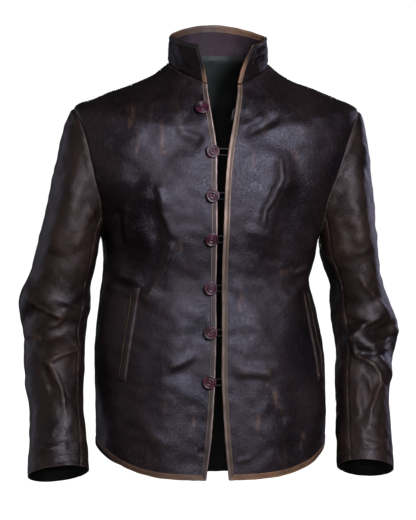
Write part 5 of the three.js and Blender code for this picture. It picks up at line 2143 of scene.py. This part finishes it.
@dataclass
class ShankButton:
    """A turned shank button with a rolled rim, a dished ring and a ringed hub."""

    number: int
    height: float
    inset: float
    finishes: Finishes
    radius: float = 11.15
    sides: int = 56

    def profile(self) -> Array:
        """Radius and height of the turned outline, from the shank's foot to the middle."""
        r = self.radius
        points = [
            (0.6, 1.1), (2.4, 1.1), (2.9, 1.3), (3.0, 2.2), (3.1, 3.6), (3.8, 4.1), (6.0, 4.2),
            (r - 2.2, 4.5),
        ]
        for turn in np.radians(np.linspace(-70, 140, 13)):
            points.append((r - 1.5 + 1.5 * math.cos(turn), 6.5 + 1.5 * math.sin(turn)))
        for distance in np.linspace(r - 3.2, 0.3, 22):
            wave = math.cos(2 * math.pi * (r - 1.5 - distance) / 4.6)
            points.append((distance, 6.9 + 0.75 * wave))
        return np.array(points)

    def seat(self) -> Cells:
        """Point and normal of the front where the button stands."""
        level = np.array(BODY.level_at_front(self.height))
        angle = BODY.front_angle(level, BODY.opening_x(level, Side.RIGHT) - self.inset)
        point, normal, _ = BODY.surface(level, angle)
        return point, normal

    def build(self) -> Piece:
        """Builds and dresses the button."""
        centre, up = self.seat()
        side = unit(np.cross(up, np.array([0.0, 0.0, 1.0])))
        other = np.cross(up, side)
        profile = self.profile()
        turn = np.linspace(0, 2 * math.pi, self.sides, endpoint=False)
        ring = np.cos(turn)[:, None] * side + np.sin(turn)[:, None] * other
        rings = centre + profile[:, 0][:, None, None] * ring[None] + profile[:, 1][:, None, None] * up
        points, faces = sweep(rings)
        data = MeshData(points, outward(points, faces))
        obj = data.build(f"button_{self.number}_gloss", [self.finishes.button])
        return dress(obj, "button_gloss", f"button_{self.number}")


@dataclass
class CordLoop:
    """A rolled leather loop from the left front's edge round a button's shank."""

    number: int
    height: float
    inset: float
    finishes: Finishes
    spread: float = 5.2
    clearance: float = 2.9
    radius: float = 1.3

    def over_front(self, inset: float, up: float) -> Array:
        """A point over the right front, in from its edge and up from the button's height."""
        level = np.array(BODY.level_at_front(self.height + up))
        angle = BODY.front_angle(level, BODY.opening_x(level, Side.RIGHT) - inset)
        point, normal, _ = BODY.surface(level, angle)
        return point + normal * self.clearance

    def root(self, up: float) -> Cells:
        """Where a leg leaves the left front's edge, and the point it first runs to."""
        level = np.array(BODY.level_at_front(self.height + up))
        angle = BODY.front_angle(level, BODY.opening_x(level, Side.LEFT))
        point, normal, _ = BODY.surface(level, angle)
        inside = point + np.array([3.0, 0.0, 0.0]) - normal * 2.9
        return inside, point + np.array([-1.8, 0.0, 0.0]) - normal * 1.6

    def path(self) -> Array:
        """Points that the loop runs through."""
        if self.number == 1:
            drop = np.array([-3.2, -1.5, -5.0])
            legs = [[*self.root(up), self.root(up)[1] + drop] for up in (self.spread, -self.spread)]
            bend = (legs[0][2] + legs[1][2]) / 2 + np.array([-2.5, -0.5, -9.0])
            return np.array([*legs[0], bend, *legs[1][::-1]])
        upper, lower = (
            [*self.root(up), self.over_front(0.0, up), self.over_front(self.inset / 2, up)]
            for up in (self.spread, -self.spread)
        )
        bend = [
            self.over_front(self.inset + math.cos(turn) * self.spread, math.sin(turn) * self.spread)
            for turn in map(math.radians, (90, 45, 0, -45, -90))
        ]
        return np.array([*upper, *bend, *lower[::-1]])

    def build(self) -> Piece:
        """Builds and dresses the loop."""
        path = self.path()
        table = Table(("x", "y", "z"), tuple(map(tuple, path)))
        at = np.linspace(0, len(path) - 1, 90)
        spine = np.stack([table.smooth(name, at) for name in ("x", "y", "z")], axis=-1)
        ahead = unit(np.gradient(spine, axis=0))
        up = unit(np.cross(ahead, np.array([0.0, 0.0, 1.0])) + np.array([0.0, -0.3, 0.0]))
        up = unit(up - ahead * (up * ahead).sum(-1, keepdims=True))
        across = np.cross(ahead, up)
        turn = np.linspace(0, 2 * math.pi, 14, endpoint=False)
        groove = 1 - 0.16 * np.exp(-((np.abs(((turn + math.pi) % (2 * math.pi)) - math.pi) / 0.3) ** 2))
        right, forward = np.cos(turn + 0.9)[None, :, None], np.sin(turn + 0.9)[None, :, None]
        ring = right * up[:, None] + forward * across[:, None]
        rings = spine[:, None] + ring * (self.radius * groove)[None, :, None]
        points, faces = sweep(rings)
        data = MeshData(points, outward(points, faces))
        obj = data.build(f"loop_{self.number}_cord", [self.finishes.cord])
        return dress(obj, "loop_cord", f"loop_{self.number}")


# ---------------------------------------------------------------- stage


@dataclass
class Studio:
    """A plain pale floor, soft lights and the camera."""

    azimuth: float = -8.0
    elevation: float = 1.5
    distance: float = 5.0
    target: tuple[float, float, float] = (-0.0167, 0.0009, -0.3091)
    room: float = 0.03

    def build(self) -> None:
        """Builds everything that isn't the jacket."""
        self.floor()
        self.world()
        self.lights()
        self.camera()

    def floor(self) -> None:
        """A wide pale floor below the hem."""
        mesh = bpy.data.meshes.new("floor")
        reach, low = 30.0, -1.05
        corners = [(-reach, -reach, low), (reach, -reach, low), (reach, reach, low), (-reach, reach, low)]
        mesh.from_pydata(corners, [], [(0, 1, 2, 3)])
        obj = bpy.data.objects.new("floor", mesh)
        bpy.context.scene.collection.objects.link(obj)
        material, _, shader = new_material("pale_floor")
        shader.inputs["Base Color"].default_value = (0.95, 0.95, 0.95, 1)
        shader.inputs["Roughness"].default_value = 0.9
        shader.inputs["Emission Color"].default_value = (1, 1, 1, 1)
        shader.inputs["Emission Strength"].default_value = 1.1
        mesh.materials.append(material)
        obj.visible_diffuse = False
        obj.visible_glossy = False

    def world(self) -> None:
        """A dark room that looks white to the camera."""
        world = bpy.data.worlds.new("room")
        world.use_nodes = True
        bpy.context.scene.world = world
        nodes = NodeTree(world.node_tree)
        background = world.node_tree.nodes["Background"]
        seen = nodes.add("LightPath").outputs["Is Camera Ray"]
        nodes.feed(background.inputs["Strength"], nodes.ramp(seen, 0.0, 1.0, self.room, 1.02))
        background.inputs["Color"].default_value = (1, 1, 1, 1)

    def aim(self, obj: Piece, target: Vector, azimuth: float, elevation: float, distance: float) -> None:
        """Stands a light or camera off a target, turned to it, and puts it in the scene."""
        turn, lift = math.radians(azimuth), math.radians(elevation)
        away = Vector((math.sin(turn) * math.cos(lift), -math.cos(turn) * math.cos(lift), math.sin(lift)))
        obj.location = target + away * distance
        obj.rotation_euler = (-away).to_track_quat("-Z", "Y").to_euler()
        bpy.context.scene.collection.objects.link(obj)

    def area(
        self, name: str, azimuth: float, elevation: float, distance: float,
        size: tuple[float, float], power: float, colour: Colour,
    ) -> None:
        """A soft rectangular light aimed at the chest.

        Args:
            name: The light's name.
            azimuth: Degrees from the front towards the wearer's left.
            elevation: Degrees up from the horizontal.
            distance: Metres from the chest.
            size: Width and height in metres.
            power: Watts.
            colour: Its colour.
        """
        light = bpy.data.lights.new(name, "AREA")
        light.shape = "RECTANGLE"
        light.size, light.size_y = size
        light.energy = power
        light.color = colour
        obj = bpy.data.objects.new(name, light)
        self.aim(obj, Vector((0.0, 0.0, -0.25)), azimuth, elevation, distance)

    def lights(self) -> None:
        """A key from the upper right, weak fills and cool strips behind the sides."""
        self.area("key", 12.0, 17.0, 2.3, (0.5, 0.5), 56.0, (0.86, 0.88, 1.0))
        self.area("front_fill", -8.0, 3.0, 4.8, (0.7, 0.7), 16.0, (1.0, 0.98, 0.97))
        self.area("side_fill", -74.0, 14.0, 3.4, (0.8, 1.4), 7.0, (1.0, 0.93, 0.86))
        self.area("back_key", 172.0, 9.0, 3.2, (0.9, 0.9), 60.0, (0.94, 0.95, 1.0))
        self.area("left_strip", -128.0, 4.0, 2.4, (0.3, 1.6), 5.0, (0.8, 0.8, 1.0))
        self.area("right_strip", 132.0, 8.0, 2.4, (0.3, 1.2), 7.0, (0.72, 0.68, 1.0))

    def camera(self) -> None:
        """A long lens at the height of the chest."""
        camera = bpy.data.cameras.new("camera")
        camera.sensor_fit = "VERTICAL"
        camera.sensor_height = 24.0
        camera.lens = 137.4
        camera.clip_end = 200.0
        obj = bpy.data.objects.new("camera", camera)
        self.aim(obj, Vector(self.target), self.azimuth, self.elevation, self.distance)
        bpy.context.scene.camera = obj


# ---------------------------------------------------------------- the jacket


def main() -> None:
    logging.basicConfig(level=logging.INFO, format="%(name)s: %(message)s")
    bpy.context.scene.view_settings.view_transform = "Standard"
    finishes = Finishes()
    bindings = Bindings(finishes).build()
    back_panel = BackPanel(finishes)
    back = back_panel.build()
    lining = back_panel.build_lining()
    collar = StandCollar(finishes).build()
    fronts = {side: FrontPanel(side, finishes).build() for side in Side}
    welts = {
        Side.RIGHT: PocketWelt(Side.RIGHT, finishes, (148, -352), (172, -507)).build(),
        Side.LEFT: PocketWelt(Side.LEFT, finishes, (141, -360), (166, -512)).build(),
    }
    for side in Side:
        top, under = Sleeve(side, finishes).build()
    neck, *_ = TopStitching(finishes).build()
    for number, (height, inset) in enumerate(BUTTONS.rows, start=1):
        ShankButton(number, height, inset, finishes).build()
        CordLoop(number, height, inset, finishes).build()
    Studio().build()


if __name__ == "__main__":
    main()
